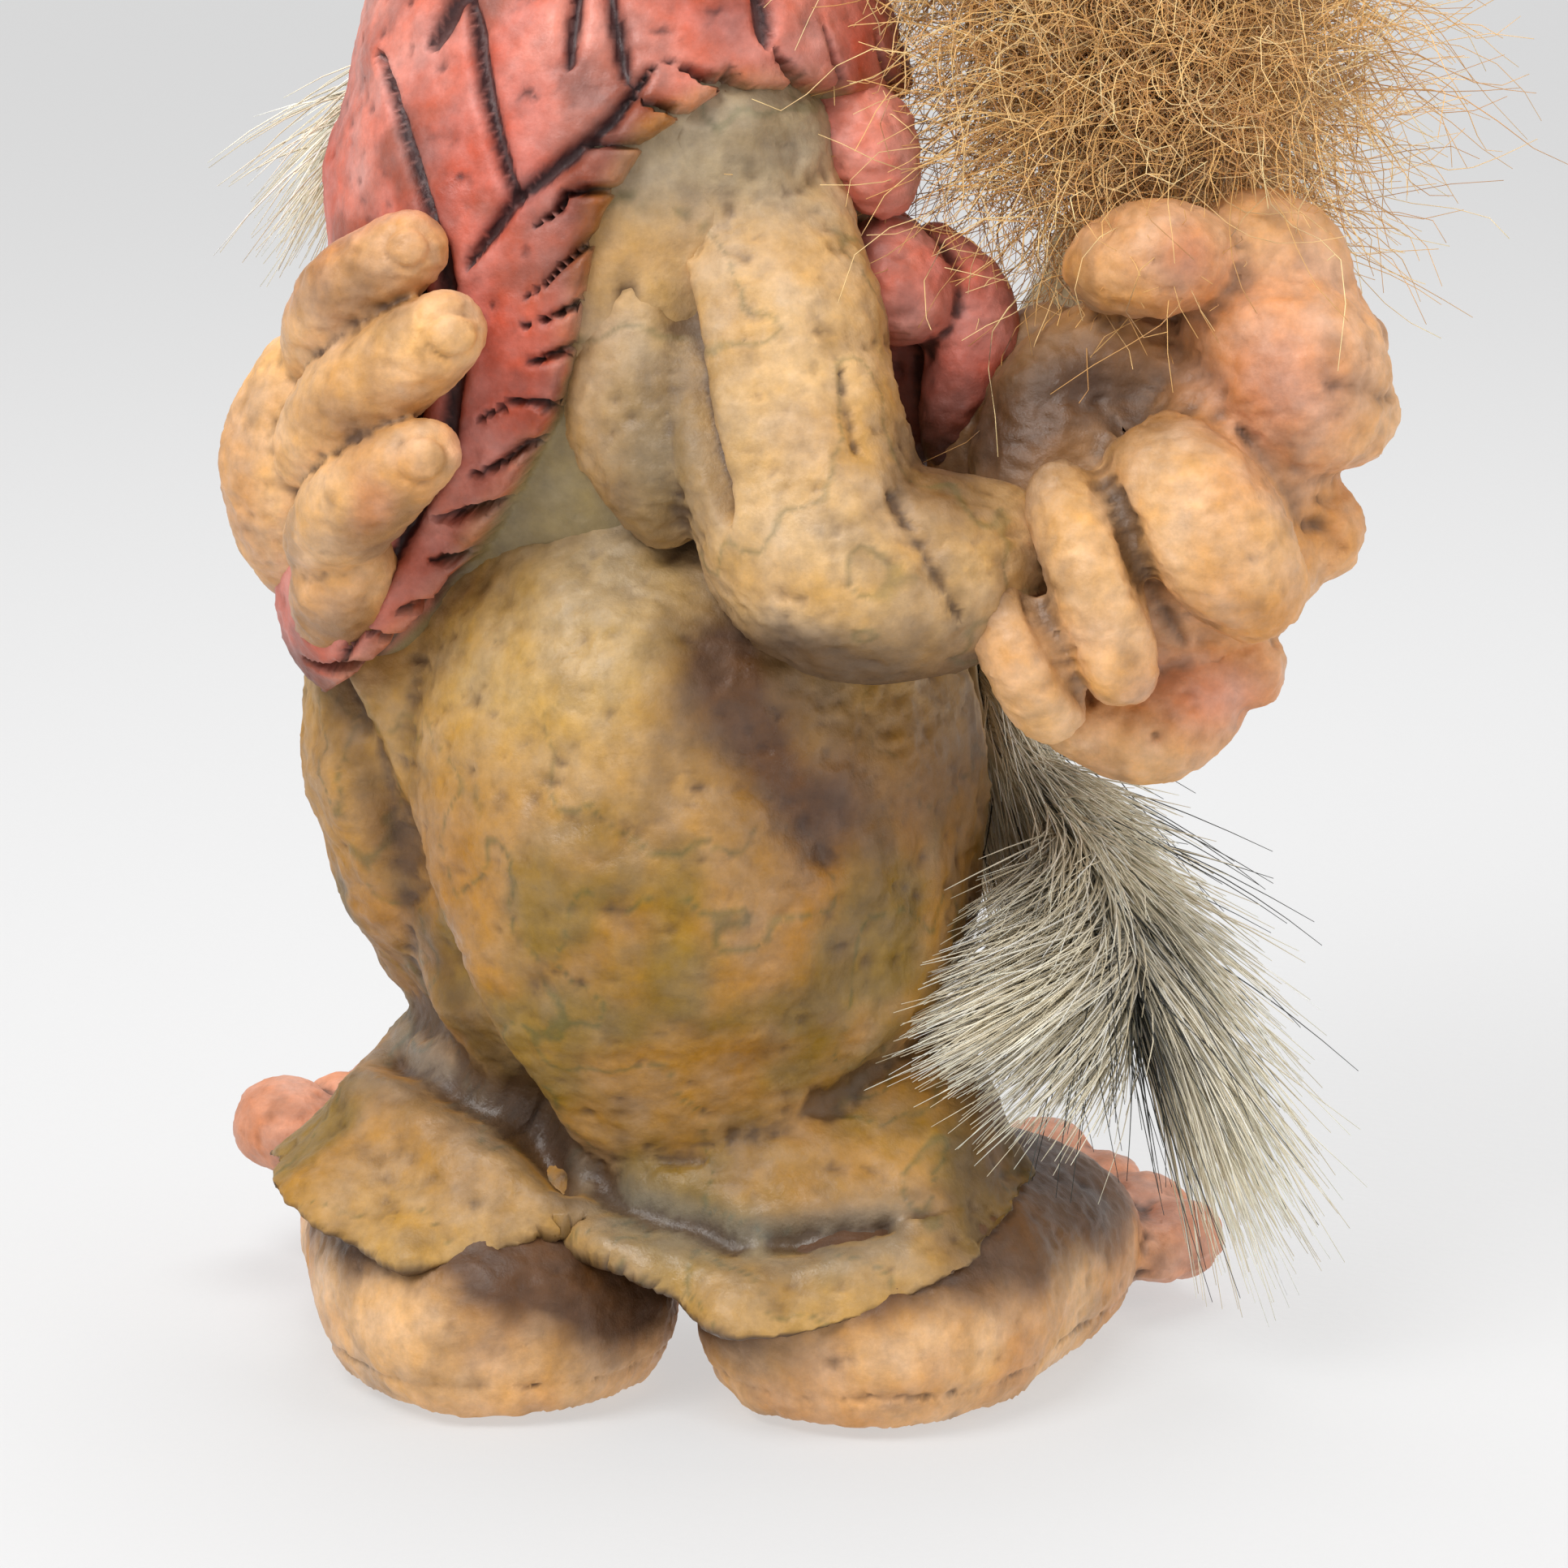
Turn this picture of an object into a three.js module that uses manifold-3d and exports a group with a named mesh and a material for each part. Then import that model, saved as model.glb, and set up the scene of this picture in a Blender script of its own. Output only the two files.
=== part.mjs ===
// A standing woodland gnome of painted cast rubber: a hunched figure in baggy trousers and a
// ragged waistcoat, right fist raised in front, left hand on the small of the back, with a wool
// head of hair and a long fur beard. Millimetres, +Z up.
//
// The figure is laid out as it stands on the maker's bench, x to the maker's right, y away and
// z up, and the whole is then turned so that its chest looks along -Y.

import * as THREE from "three";
import { mergeVertices } from "three/addons/utils/BufferGeometryUtils.js";
import Module from "manifold-3d";

// ---------------------------------------------------------------- driving dimensions

const GAP = 0.35;               // clearance between glued faces
const BENCH_TURN = -150;        // degrees from the bench to the figure's own front
const PAD_THICK = 0.6;          // felt under each foot
const SOLE = PAD_THICK + GAP;   // height of the soles
const HEM = 14;                 // height of the trouser hems
const ANKLE_R = 3;              // ankle dowels
const WRIST_R = 2.2;            // wrist dowels
const NECK_R = 4;               // neck dowel
const EYE_R = 3.4;              // glass eyes

const SEAT = new THREE.Vector3(-12, 1, 44);
const TORSO_LOW = new THREE.Vector3(-12, 2.5, 80);
const TORSO_TOP = new THREE.Vector3(-7, 7, 119);
const RIGHT_SHOULDER = new THREE.Vector3(-2, -6, 97);
const RIGHT_ELBOW = new THREE.Vector3(1, -22, 67);
const RIGHT_WRIST = new THREE.Vector3(14, -20, 68);
const RIGHT_FIST = new THREE.Vector3(29, -17, 74);
const LEFT_SHOULDER = new THREE.Vector3(-17, 17, 97);
const LEFT_ELBOW = new THREE.Vector3(-31, 16, 80);
const LEFT_WRIST = new THREE.Vector3(-35, 3, 70);
const LEFT_HAND = new THREE.Vector3(-33, -15, 77);
const RIGHT_ANKLE = new THREE.Vector3(4, -4, 16);
const LEFT_ANKLE = new THREE.Vector3(-25, 0, 16);
const HEAD = new THREE.Vector3(21, 17, 127);
const FACE = new THREE.Vector3(0.76, 0.62, -0.17).normalize();   // where the face looks
const HEAD_R = 17;

const COLOURS = {
  trousers: [0x9a7b3c, 0.45], waistcoat: [0xc4685f, 0.4], sleeve: [0xd9b581, 0.55],
  skin: [0xdda56c, 0.5], wool: [0xb98f55, 0.95], fur: [0xc6c1ac, 0.95], hide: [0xd8cba8, 0.85],
  eye: [0x3a2a18, 0.1], felt: [0x4a4038, 0.95], wood: [0xc9a26b, 0.7], foam: [0xe6dcc0, 0.9],
};

// ---------------------------------------------------------------- solid helpers

const wasm = await Module();
wasm.setup();

const vec = (x, y, z) => new THREE.Vector3(x, y, z);
const figure = new THREE.Group();
figure.rotation.z = THREE.MathUtils.degToRad(BENCH_TURN);

function toSolid(geometry) {
  const bare = geometry.index ? geometry.toNonIndexed() : geometry.clone();
  bare.deleteAttribute("normal");
  bare.deleteAttribute("uv");
  const merged = mergeVertices(bare, 1e-4);
  return new wasm.Manifold(new wasm.Mesh({
    numProp: 3,
    vertProperties: new Float32Array(merged.attributes.position.array),
    triVerts: new Uint32Array(merged.index.array),
  }));
}

function toGeometry(solid) {
  const mesh = solid.getMesh();
  const geometry = new THREE.BufferGeometry();
  geometry.setAttribute("position", new THREE.BufferAttribute(mesh.vertProperties, 3));
  geometry.setIndex(new THREE.BufferAttribute(mesh.triVerts, 1));
  geometry.computeVertexNormals();
  return geometry;
}

// A rounded limb: a sphere whose poles are drawn out along a smooth path. At a share t of the
// path its section is an ellipse, radii[t] across and radii[t] * flat along `thin`, and both ends
// close in a dome of fullness `blunt` (0.5 is an ellipsoid, smaller is squarer). Every point then
// moves out by `grow`.
function limb({ path, radii, flat = 1, thin = vec(0, 1, 0), blunt = 0.5, round = 14, rows = 9 }, grow = 0) {
  const curve = new THREE.CatmullRomCurve3(path);
  const sphere = new THREE.SphereGeometry(1, round, rows);
  const place = sphere.attributes.position;
  for (let i = 0; i < place.count; i += 1) {
    const unit = vec().fromBufferAttribute(place, i);
    const t = (1 - unit.y) / 2;
    const step = t * (radii.length - 1);
    const low = Math.min(Math.floor(step), radii.length - 2);
    const radius = radii[low] + (radii[low + 1] - radii[low]) * (step - low);
    const along = curve.getTangent(t);
    const up = thin.clone().addScaledVector(along, -thin.dot(along)).normalize();
    const across = up.clone().cross(along);
    const ring = Math.hypot(unit.x, unit.z);
    const swell = ring < 1e-6 ? 0 : radius * ring ** (2 * blunt - 1);
    const point = curve.getPoint(t);
    point.addScaledVector(across, unit.x * (swell + grow));
    point.addScaledVector(up, unit.z * (swell * flat + grow));
    point.addScaledVector(along, -unit.y * grow);
    place.setXYZ(i, point.x, point.y, point.z);
  }
  return toSolid(sphere);
}

function rod(from, to, radius, grow = 0) {
  const along = to.clone().sub(from);
  const shape = new THREE.CylinderGeometry(radius + grow, radius + grow, along.length() + 2 * grow, 12);
  const turn = new THREE.Quaternion().setFromUnitVectors(vec(0, 1, 0), along.clone().normalize());
  shape.applyQuaternion(turn);
  const middle = from.clone().add(to).multiplyScalar(0.5);
  shape.translate(middle.x, middle.y, middle.z);
  return toSolid(shape);
}

function block(centre, size, turn = new THREE.Euler()) {
  const shape = new THREE.BoxGeometry(size.x, size.y, size.z);
  shape.applyQuaternion(new THREE.Quaternion().setFromEuler(turn));
  shape.translate(centre.x, centre.y, centre.z);
  return toSolid(shape);
}

// Each piece is its make(grow) function, which gives the solid with every face moved out by
// `grow`, less the grown shapes of the pieces it is fitted against.
const pieces = {};

function piece(name, colour, make, against = []) {
  pieces[name] = make;
  let solid = make(0);
  for (const other of against) solid = solid.subtract(pieces[other](GAP));
  const [color, roughness] = COLOURS[colour];
  const material = new THREE.MeshStandardMaterial({ color, roughness, metalness: 0 });
  const mesh = new THREE.Mesh(toGeometry(solid), material);
  mesh.name = name;
  figure.add(mesh);
}

function joined(...shapes) {
  return (grow) => shapes.map((shape) => limb(shape, grow)).reduce((whole, next) => whole.add(next));
}

// ---------------------------------------------------------------- dowels and cores

const anklePins = { right: RIGHT_ANKLE, left: LEFT_ANKLE };
for (const [side, ankle] of Object.entries(anklePins)) {
  const top = ankle.clone().lerp(SEAT, 0.5).setZ(42);
  piece(`${side}_ankle_dowel`, "wood", (grow) => rod(ankle.clone().setZ(7), top, ANKLE_R, grow));
}
const neckLow = vec(-4, 6, 104);
piece("neck_dowel", "wood", (grow) => rod(neckLow, vec(15, 14.5, 122), NECK_R, grow));
const wristInto = RIGHT_WRIST.clone().lerp(RIGHT_FIST, 0.75);
piece("right_wrist_dowel", "wood", (grow) => rod(vec(3.5, -21, 67), wristInto, WRIST_R, grow));
const leftInto = LEFT_WRIST.clone().lerp(LEFT_HAND, 0.6);
piece("left_wrist_dowel", "wood", (grow) => rod(LEFT_WRIST.clone().add(vec(-0.5, 8, 3)), leftInto, WRIST_R, grow));

const coreShape = { path: [vec(-12, 3, 66), SEAT, vec(-12, 3, 25)], radii: [15, 18, 16], round: 12, rows: 7 };
const dowels = ["right_ankle_dowel", "left_ankle_dowel"];
piece("foam_core", "foam", joined(coreShape), dowels);

// ---------------------------------------------------------------- trousers and feet

const seatShape = {
  path: [vec(-12, 3, 84), SEAT, vec(-12, 3, HEM + 3)], radii: [24, 28, 28, 25], blunt: 0.3, round: 18, rows: 11,
};
const rightLeg = {
  path: [vec(0, -2, 38), vec(3, -6, 24), vec(3.5, -7, HEM)], radii: [12, 16, 17], blunt: 0.22, round: 14, rows: 7,
};
const leftLeg = {
  path: [vec(-24, 2, 38), vec(-26, -2, 25), vec(-26, -4, HEM)], radii: [12, 15.5, 16], blunt: 0.22, round: 14, rows: 7,
};

// A foot: a broad heel, a long sole and a row of toes, with a flat underside at SOLE.
function footShape(heel, toe, width) {
  const middle = heel.clone().lerp(toe, 0.5);
  const radii = [width, width, width * 0.92, width * 0.8];
  return { path: [heel, middle, toe], radii, flat: 0.42, thin: vec(0, 0, 1), blunt: 0.3, round: 14, rows: 9 };
}
const footShapes = {
  right: footShape(vec(3, -25, 7.4), vec(26, 22, 6.4), 13),
  left: footShape(vec(-22.5, -23, 7.4), vec(-37, 32, 6.4), 13),
};
function footSolid(side, grow) {
  const belowSole = block(vec(-10, 10, SOLE - 20 - grow), vec(160, 160, 40));
  return limb(footShapes[side], grow).subtract(belowSole);
}
for (const side of ["right", "left"]) {
  piece(`${side}_foot`, "skin", (grow) => footSolid(side, grow), [`${side}_ankle_dowel`]);
}
piece("trousers_casting", "trousers", joined(seatShape, rightLeg, leftLeg), ["foam_core", ...dowels]);

// The felt pads are the foot's outline drawn in, cut at the sole.
for (const side of ["right", "left"]) {
  piece(`${side}_foot_pad`, "felt", () => {
    const { path, radii } = footShapes[side];
    const from = path[0].clone().setZ(0);
    const to = path[2].clone().setZ(0);
    const shape = new THREE.Shape();
    const half = radii[0] * 0.46;
    const long = from.distanceTo(to) * 0.38;
    shape.absellipse(0, 0, long, half, 0, Math.PI * 2);
    const pad = new THREE.ExtrudeGeometry(shape, { depth: PAD_THICK, bevelEnabled: false, curveSegments: 12 });
    pad.rotateZ(Math.atan2(to.y - from.y, to.x - from.x));
    const middle = from.clone().add(to).multiplyScalar(0.5);
    pad.translate(middle.x, middle.y, 0);
    return toSolid(pad);
  });
}

// ---------------------------------------------------------------- torso, arms and hands

const torsoShape = {
  path: [TORSO_LOW, TORSO_LOW.clone().lerp(TORSO_TOP, 0.5), TORSO_TOP],
  radii: [17, 19, 18, 12], blunt: 0.34, round: 14, rows: 8,
};
piece("torso_casting", "sleeve", joined(torsoShape), ["trousers_casting", "neck_dowel"]);

const rightArm = {
  path: [RIGHT_SHOULDER, vec(1, -17, 82), RIGHT_ELBOW, RIGHT_WRIST], radii: [11.5, 11, 11.5, 11, 9],
  blunt: 0.3, round: 12, rows: 10,
};
piece("right_sleeve", "sleeve", joined(rightArm), ["trousers_casting", "torso_casting", "right_wrist_dowel"]);
const leftArm = {
  path: [LEFT_SHOULDER, vec(-24, 21, 90), LEFT_ELBOW, LEFT_WRIST], radii: [11, 10.5, 10.5, 9, 8],
  blunt: 0.3, round: 12, rows: 9,
};
piece("left_sleeve", "sleeve", joined(leftArm), ["trousers_casting", "torso_casting", "left_wrist_dowel"]);

const fistShape = {
  path: [vec(17, -21, 63), RIGHT_FIST, vec(34, -14, 91)], radii: [11, 16, 17, 11], blunt: 0.32, round: 14, rows: 8,
};
piece("right_fist", "skin", joined(fistShape), ["right_wrist_dowel", "right_sleeve"]);

const palmShape = {
  path: [vec(-38, -4, 64), LEFT_HAND, vec(-31, -21, 82)], radii: [6.5, 8.5, 6], flat: 0.7, thin: vec(0.5, 0.85, 0),
  blunt: 0.4, round: 12, rows: 8,
};
const leftFinger = (tip, root) => ({
  path: [root, root.clone().lerp(tip, 0.5).add(vec(0, -1, 0)), tip], radii: [3.4, 3.6, 3], blunt: 0.36, round: 10, rows: 7,
});
const leftHand = joined(
  palmShape,
  leftFinger(vec(-27, -24, 93), vec(-36, -14, 82)),
  leftFinger(vec(-24, -26, 86), vec(-35, -16, 76)),
  leftFinger(vec(-26, -26, 77.5), vec(-35, -15, 70)),
);
piece("left_hand", "skin", leftHand, ["left_wrist_dowel", "left_sleeve", "trousers_casting"]);

// ---------------------------------------------------------------- waistcoat

const coatShape = {
  path: [vec(-13, 2, 60), vec(-13, 2, 86), vec(-8, 6, 122)], radii: [27, 27.5, 27, 21], blunt: 0.26, round: 18, rows: 10,
};
// The hem climbs from the low tail on the left of the back to the right armhole.
const hemTilt = new THREE.Euler(0, THREE.MathUtils.degToRad(-46), 0);
const hemDown = vec(0, 0, -1).applyEuler(hemTilt);
function coatSolid(grow) {
  const belowHem = block(vec(-4, 2, 44).addScaledVector(hemDown, grow), vec(150, 120, 60), hemTilt);
  return limb(coatShape, grow).subtract(belowHem);
}
piece("waistcoat", "waistcoat", coatSolid, [
  "torso_casting", "trousers_casting", "right_sleeve", "left_sleeve", "left_hand", "neck_dowel",
  "left_wrist_dowel", "right_wrist_dowel",
]);

const tasselShapes = {
  right_chest_tassel: { path: [vec(5, 2, 105), vec(9, -2, 99), vec(10, -4, 93)], radii: [5, 6, 4.5], round: 12, rows: 7 },
  right_side_tassel: { path: [vec(13, 2, 93), vec(15, 0, 84), vec(13, -2, 76)], radii: [5.5, 7, 5], round: 12, rows: 8 },
};
for (const [name, shape] of Object.entries(tasselShapes)) {
  const fitted = ["waistcoat", "torso_casting", "trousers_casting", "right_sleeve", "right_fist"];
  const earlier = name === "right_side_tassel" ? ["right_chest_tassel"] : [];
  piece(name, "waistcoat", joined(shape), [...fitted, ...earlier]);
}

// ---------------------------------------------------------------- head

const side = FACE.clone().cross(vec(0, 0, 1)).normalize();   // towards the figure's right
const crown = side.clone().cross(FACE).normalize();
const onHead = (forward, right, up) => HEAD.clone()
  .addScaledVector(FACE, forward).addScaledVector(side, right).addScaledVector(crown, up);

const skull = { path: [onHead(0, 0, 17), onHead(1, 0, 0), onHead(4, 0, -16)], radii: [HEAD_R, HEAD_R, 14], blunt: 0.34, round: 16, rows: 9 };
const nose = { path: [onHead(12, 0, 5), onHead(22, 0, -1), onHead(25, 0, -5)], radii: [4, 6, 6.5], round: 10, rows: 7 };
piece("right_eye", "eye", (grow) => limb({
  path: [onHead(12.2, 6.2, 4.6), onHead(15.4, 6.4, 4.4), onHead(18.6, 6.6, 4.2)], radii: [EYE_R, EYE_R], round: 12, rows: 8,
}, grow));
piece("left_eye", "eye", (grow) => limb({
  path: [onHead(12.2, -6.2, 4.6), onHead(15.4, -6.4, 4.4), onHead(18.6, -6.6, 4.2)], radii: [EYE_R, EYE_R], round: 12, rows: 8,
}, grow));
piece("head_casting", "skin", joined(skull, nose), [
  "neck_dowel", "right_eye", "left_eye", "torso_casting", "waistcoat",
]);
for (const [name, sign] of [["right_ear", 1], ["left_ear", -1]]) {
  const ear = {
    path: [onHead(0, 16 * sign, -4), onHead(-1, 20 * sign, 2), onHead(-3, 25 * sign, 7)], radii: [5, 6, 3],
    flat: 0.4, thin: FACE, round: 12, rows: 7,
  };
  piece(name, "skin", joined(ear), ["head_casting"]);
}
for (const [name, sign] of [["right_brow", 1], ["left_brow", -1]]) {
  const brow = {
    path: [onHead(17.5, 1.6 * sign, 10.5), onHead(17.5, 6 * sign, 12), onHead(13, 12 * sign, 10)], radii: [2, 2.6, 1.8],
    round: 8, rows: 6,
  };
  piece(name, "wool", joined(brow), ["head_casting", "right_eye", "left_eye"]);
}

// ---------------------------------------------------------------- wool hair

const headPieces = ["head_casting", "right_ear", "left_ear", "right_brow", "left_brow", "neck_dowel"];
const trunkPieces = ["left_wrist_dowel", "right_wrist_dowel", "torso_casting", "waistcoat", "right_sleeve", "left_sleeve", "right_chest_tassel", "right_side_tassel"];
const hairShapes = {
  hair_crown: { path: [onHead(-19, 0, 10), onHead(-5, 0, 18), onHead(9, 0, 19)], radii: [13, 17, 11], blunt: 0.34, round: 14, rows: 8 },
  hair_nape: { path: [onHead(-15, 0, 13), onHead(-22, 0, 0), onHead(-22, 2, -14)], radii: [12, 14, 11], blunt: 0.34, round: 12, rows: 7 },
  hair_right: { path: [onHead(-3, 17, 17), vec(31, -3, 122), vec(32, -6, 102)], radii: [10, 15, 13], blunt: 0.32, round: 12, rows: 7 },
  hair_left: { path: [onHead(-3, -16, 17), onHead(-7, -24, -2), onHead(-9, -25, -26)], radii: [9, 11, 9], blunt: 0.32, round: 12, rows: 7 },
};
const hairDone = [];
for (const [name, shape] of Object.entries(hairShapes)) {
  piece(name, "wool", joined(shape), [...headPieces, ...trunkPieces, ...hairDone]);
  hairDone.push(name);
}

// ---------------------------------------------------------------- fur beard

const beardRoot = onHead(12, 0, -13);
const backing = {
  path: [beardRoot, vec(30, 29, 98), vec(24, 27, 78), vec(15, 21, 58), vec(17, 14, 45)], radii: [8, 11, 10, 8, 6],
  flat: 0.1, thin: vec(0.7, 0.7, 0), blunt: 0.3, round: 12, rows: 12,
};
const bodyPieces = [...trunkPieces, "trousers_casting", "right_fist", "left_hand", "right_foot", "left_foot"];
piece("beard_hide", "hide", joined(backing), [...headPieces, ...bodyPieces]);
const beardShapes = {
  beard_upper: { path: [onHead(15, 0, -12), vec(33, 33, 96), vec(27, 32, 74)], radii: [10, 14, 11], flat: 0.5, thin: vec(0.8, 0.6, 0), round: 14, rows: 9 },
  beard_lower: { path: [vec(27, 31, 80), vec(23, 26, 58), vec(27, 14, 42)], radii: [9, 11, 8], flat: 0.6, thin: vec(0.8, 0.6, 0), round: 14, rows: 9 },
  beard_tip: { path: [vec(24, 11, 43), vec(31, 1, 32), vec(25, -12, 14)], radii: [8, 11, 8], flat: 0.8, thin: vec(0.9, 0.2, 0.3), round: 12, rows: 8 },
  beard_left_lock: { path: [vec(-6, 33, 104), vec(-26, 30, 100), vec(-36, 26, 90)], radii: [5, 6, 4], round: 12, rows: 8 },
};
const beardDone = ["beard_hide"];
for (const [name, shape] of Object.entries(beardShapes)) {
  piece(name, "fur", joined(shape), [...headPieces, ...bodyPieces, ...hairDone, ...beardDone]);
  beardDone.push(name);
}

// The origin stands on the bench under the middle of the finished figure.
const row = new THREE.Group();
row.add(figure);
const extent = new THREE.Box3().setFromObject(row, true);
const middle = extent.getCenter(vec());
row.position.set(-middle.x, -middle.y, -extent.min.z);
export default row;
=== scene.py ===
"""A hunched woodland gnome of painted cast rubber, with a wool head of hair and a long fur beard."""

import math

import bpy
import numpy as np
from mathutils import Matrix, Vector


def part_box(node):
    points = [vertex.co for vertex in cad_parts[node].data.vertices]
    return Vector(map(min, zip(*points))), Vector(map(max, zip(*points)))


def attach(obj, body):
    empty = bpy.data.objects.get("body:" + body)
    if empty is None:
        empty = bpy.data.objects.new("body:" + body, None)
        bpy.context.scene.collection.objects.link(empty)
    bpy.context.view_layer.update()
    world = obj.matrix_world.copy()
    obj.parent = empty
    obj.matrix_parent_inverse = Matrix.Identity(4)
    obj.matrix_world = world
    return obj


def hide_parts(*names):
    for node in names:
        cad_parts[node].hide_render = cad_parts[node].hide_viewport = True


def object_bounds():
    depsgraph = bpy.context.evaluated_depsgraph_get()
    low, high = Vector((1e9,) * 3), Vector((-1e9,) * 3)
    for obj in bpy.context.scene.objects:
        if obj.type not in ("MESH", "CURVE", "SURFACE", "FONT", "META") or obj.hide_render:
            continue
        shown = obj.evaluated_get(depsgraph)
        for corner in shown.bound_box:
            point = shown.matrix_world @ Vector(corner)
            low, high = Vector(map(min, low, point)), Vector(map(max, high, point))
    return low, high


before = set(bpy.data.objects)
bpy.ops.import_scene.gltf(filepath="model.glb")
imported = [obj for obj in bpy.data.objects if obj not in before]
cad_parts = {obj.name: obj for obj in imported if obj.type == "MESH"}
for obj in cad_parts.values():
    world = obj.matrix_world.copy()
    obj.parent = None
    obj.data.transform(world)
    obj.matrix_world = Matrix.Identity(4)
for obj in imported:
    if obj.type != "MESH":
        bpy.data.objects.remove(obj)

bl_info = {
    "name": "Cast Rubber Gnome",
    "version": (1, 0, 0),
    "blender": (4, 5, 0),
    "location": "View3D > Sidebar > Gnome",
    "description": "Builds a painted rubber gnome: castings, wool hair, fur beard and stage",
    "category": "Object",
}

CAD_BOX = np.array(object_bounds())
MM = 0.001

# ---------------------------------------------------------------- bench and figure

# Everything is sculpted on the maker's bench, in millimetres: x to the maker's right, y away
# and z up. BENCH_TURN and a shift, found from the right eye, carry it to the figure's frame.
BENCH_TURN = math.radians(-150)
HEAD = np.array((21.0, 17.0, 127.0))
FACE = np.array((0.76, 0.62, -0.17)) / math.sqrt(0.76 ** 2 + 0.62 ** 2 + 0.17 ** 2)
SIDE = np.cross(FACE, (0, 0, 1)) / np.linalg.norm(np.cross(FACE, (0, 0, 1)))
CROWN = np.cross(SIDE, FACE)


def on_head(forward, right, up):
    """HEAD + forward * FACE + right * SIDE + up * CROWN, with the head's own three directions."""
    return tuple(HEAD + forward * FACE + right * SIDE + up * CROWN)


def turned(points):
    """Points turned about the z axis by BENCH_TURN."""
    c, s = math.cos(BENCH_TURN), math.sin(BENCH_TURN)
    points = np.atleast_2d(np.asarray(points, float))
    return points @ np.array(((c, s, 0), (-s, c, 0), (0, 0, 1)))


EYE_BENCH = on_head(15.4, 6.4, 4.4)
EYE_BOX = np.array(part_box("right_eye")) / MM
SHIFT = EYE_BOX.mean(axis=0) - turned(EYE_BENCH)[0]


def to_figure(points):
    """Bench millimetres to the figure's frame in metres."""
    return (turned(points) + SHIFT) * MM


# ---------------------------------------------------------------- numbers for whole arrays

# Large numbers that scramble a lattice point and a seed into a value that looks random.
LATTICE_KEYS = (73856093, 19349663, 83492791)
SEED_KEY = 2654435761
SCRAMBLE_FIRST = 1274126177
SCRAMBLE_SECOND = 668265263
LOW_BITS = 0x7FFFFFFF
OCTAVE_SHIFT = 31.7  # each octave reads another part of the lattice


def smooth(low, high, x):
    """0 below low, 1 above high, and 3t^2 - 2t^3 between."""
    t = np.clip((x - low) / (high - low), 0, 1)
    return t * t * (3 - 2 * t)


def lattice_noise(points, seed):
    """Value noise: a random number at each whole lattice point, blended smoothly between the
    points, in -1..1."""
    cell = np.floor(points).astype(np.int64)
    part = points - cell
    part = part * part * (3 - 2 * part)
    total = np.zeros(len(points))
    for corner in np.ndindex(2, 2, 2):
        at = cell + corner
        key = at[:, 0] * LATTICE_KEYS[0] ^ at[:, 1] * LATTICE_KEYS[1] ^ at[:, 2] * LATTICE_KEYS[2]
        key = key ^ (seed * SEED_KEY)
        key = (key ^ (key >> 13)) * SCRAMBLE_FIRST & LOW_BITS
        key = (key ^ (key >> 15)) * SCRAMBLE_SECOND & LOW_BITS
        value = (key ^ (key >> 12)) % 65536 / 32768.0 - 1
        total += value * np.prod(np.where(corner, part, 1 - part), axis=1)
    return total


def layered(points, scale, seed, octaves=3):
    """Noise of feature size `scale` mm, plus each finer octave at half the size and height."""
    return sum(lattice_noise(points * 2 ** k / scale + OCTAVE_SHIFT * k, seed + k) * 0.5 ** k
               for k in range(octaves))


def along_line(flat_points, line):
    """For each flat point: its distance to a polyline, signed (+ on the left of its way), and the
    length along the line to the nearest place; then the whole length of the line."""
    line = np.asarray(line, float)
    best = np.full(len(flat_points), np.inf)
    signed = np.zeros(len(flat_points))
    run = np.zeros(len(flat_points))
    start = 0.0
    for a, b in zip(line[:-1], line[1:]):
        step = b - a
        length = math.hypot(*step)
        offset = flat_points - a
        t = np.clip(offset @ step / length ** 2, 0, 1)
        gap = np.hypot(*(offset - t[:, None] * step).T)
        cross = step[0] * offset[:, 1] - step[1] * offset[:, 0]
        nearer = gap < best
        best = np.where(nearer, gap, best)
        signed = np.where(nearer, np.sign(cross) * gap, signed)
        run = np.where(nearer, start + t * length, run)
        start += length
    return signed, run, start


def carved(flat_points, line, width, mask=1.0):
    """A carved line: 1 on the line, exp(-(d/width)^2) beside it, thinning out at both ends."""
    signed, run, length = along_line(flat_points, line)
    thin = 0.35 + 0.65 * np.sin(np.pi * np.clip(run / length, 0, 1)) ** 0.5
    return np.exp(-(signed / (width * thin)) ** 2) * mask


def spot(points, centre, radii):
    """A soft patch: exp(-r^2), with r measured in the radii from the centre."""
    return np.exp(-(((points - np.array(centre)) / np.array(radii)) ** 2).sum(axis=1))


# ---------------------------------------------------------------- closed grid surfaces

def path_points(path, shares):
    """A smooth curve through the points (Catmull-Rom), at the given shares of its run."""
    path = np.asarray(path, float)
    padded = np.vstack((2 * path[0] - path[1], path, 2 * path[-1] - path[-2]))
    place = np.asarray(shares) * (len(path) - 1)
    k = np.minimum(place.astype(int), len(path) - 2)
    t = (place - k)[:, None]
    p0, p1, p2, p3 = (padded[k + n] for n in range(4))
    return 0.5 * (2 * p1 + (p2 - p0) * t + (2 * p0 - 5 * p1 + 4 * p2 - p3) * t ** 2
                  + (3 * p1 - p0 - 3 * p2 + p3) * t ** 3)


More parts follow.
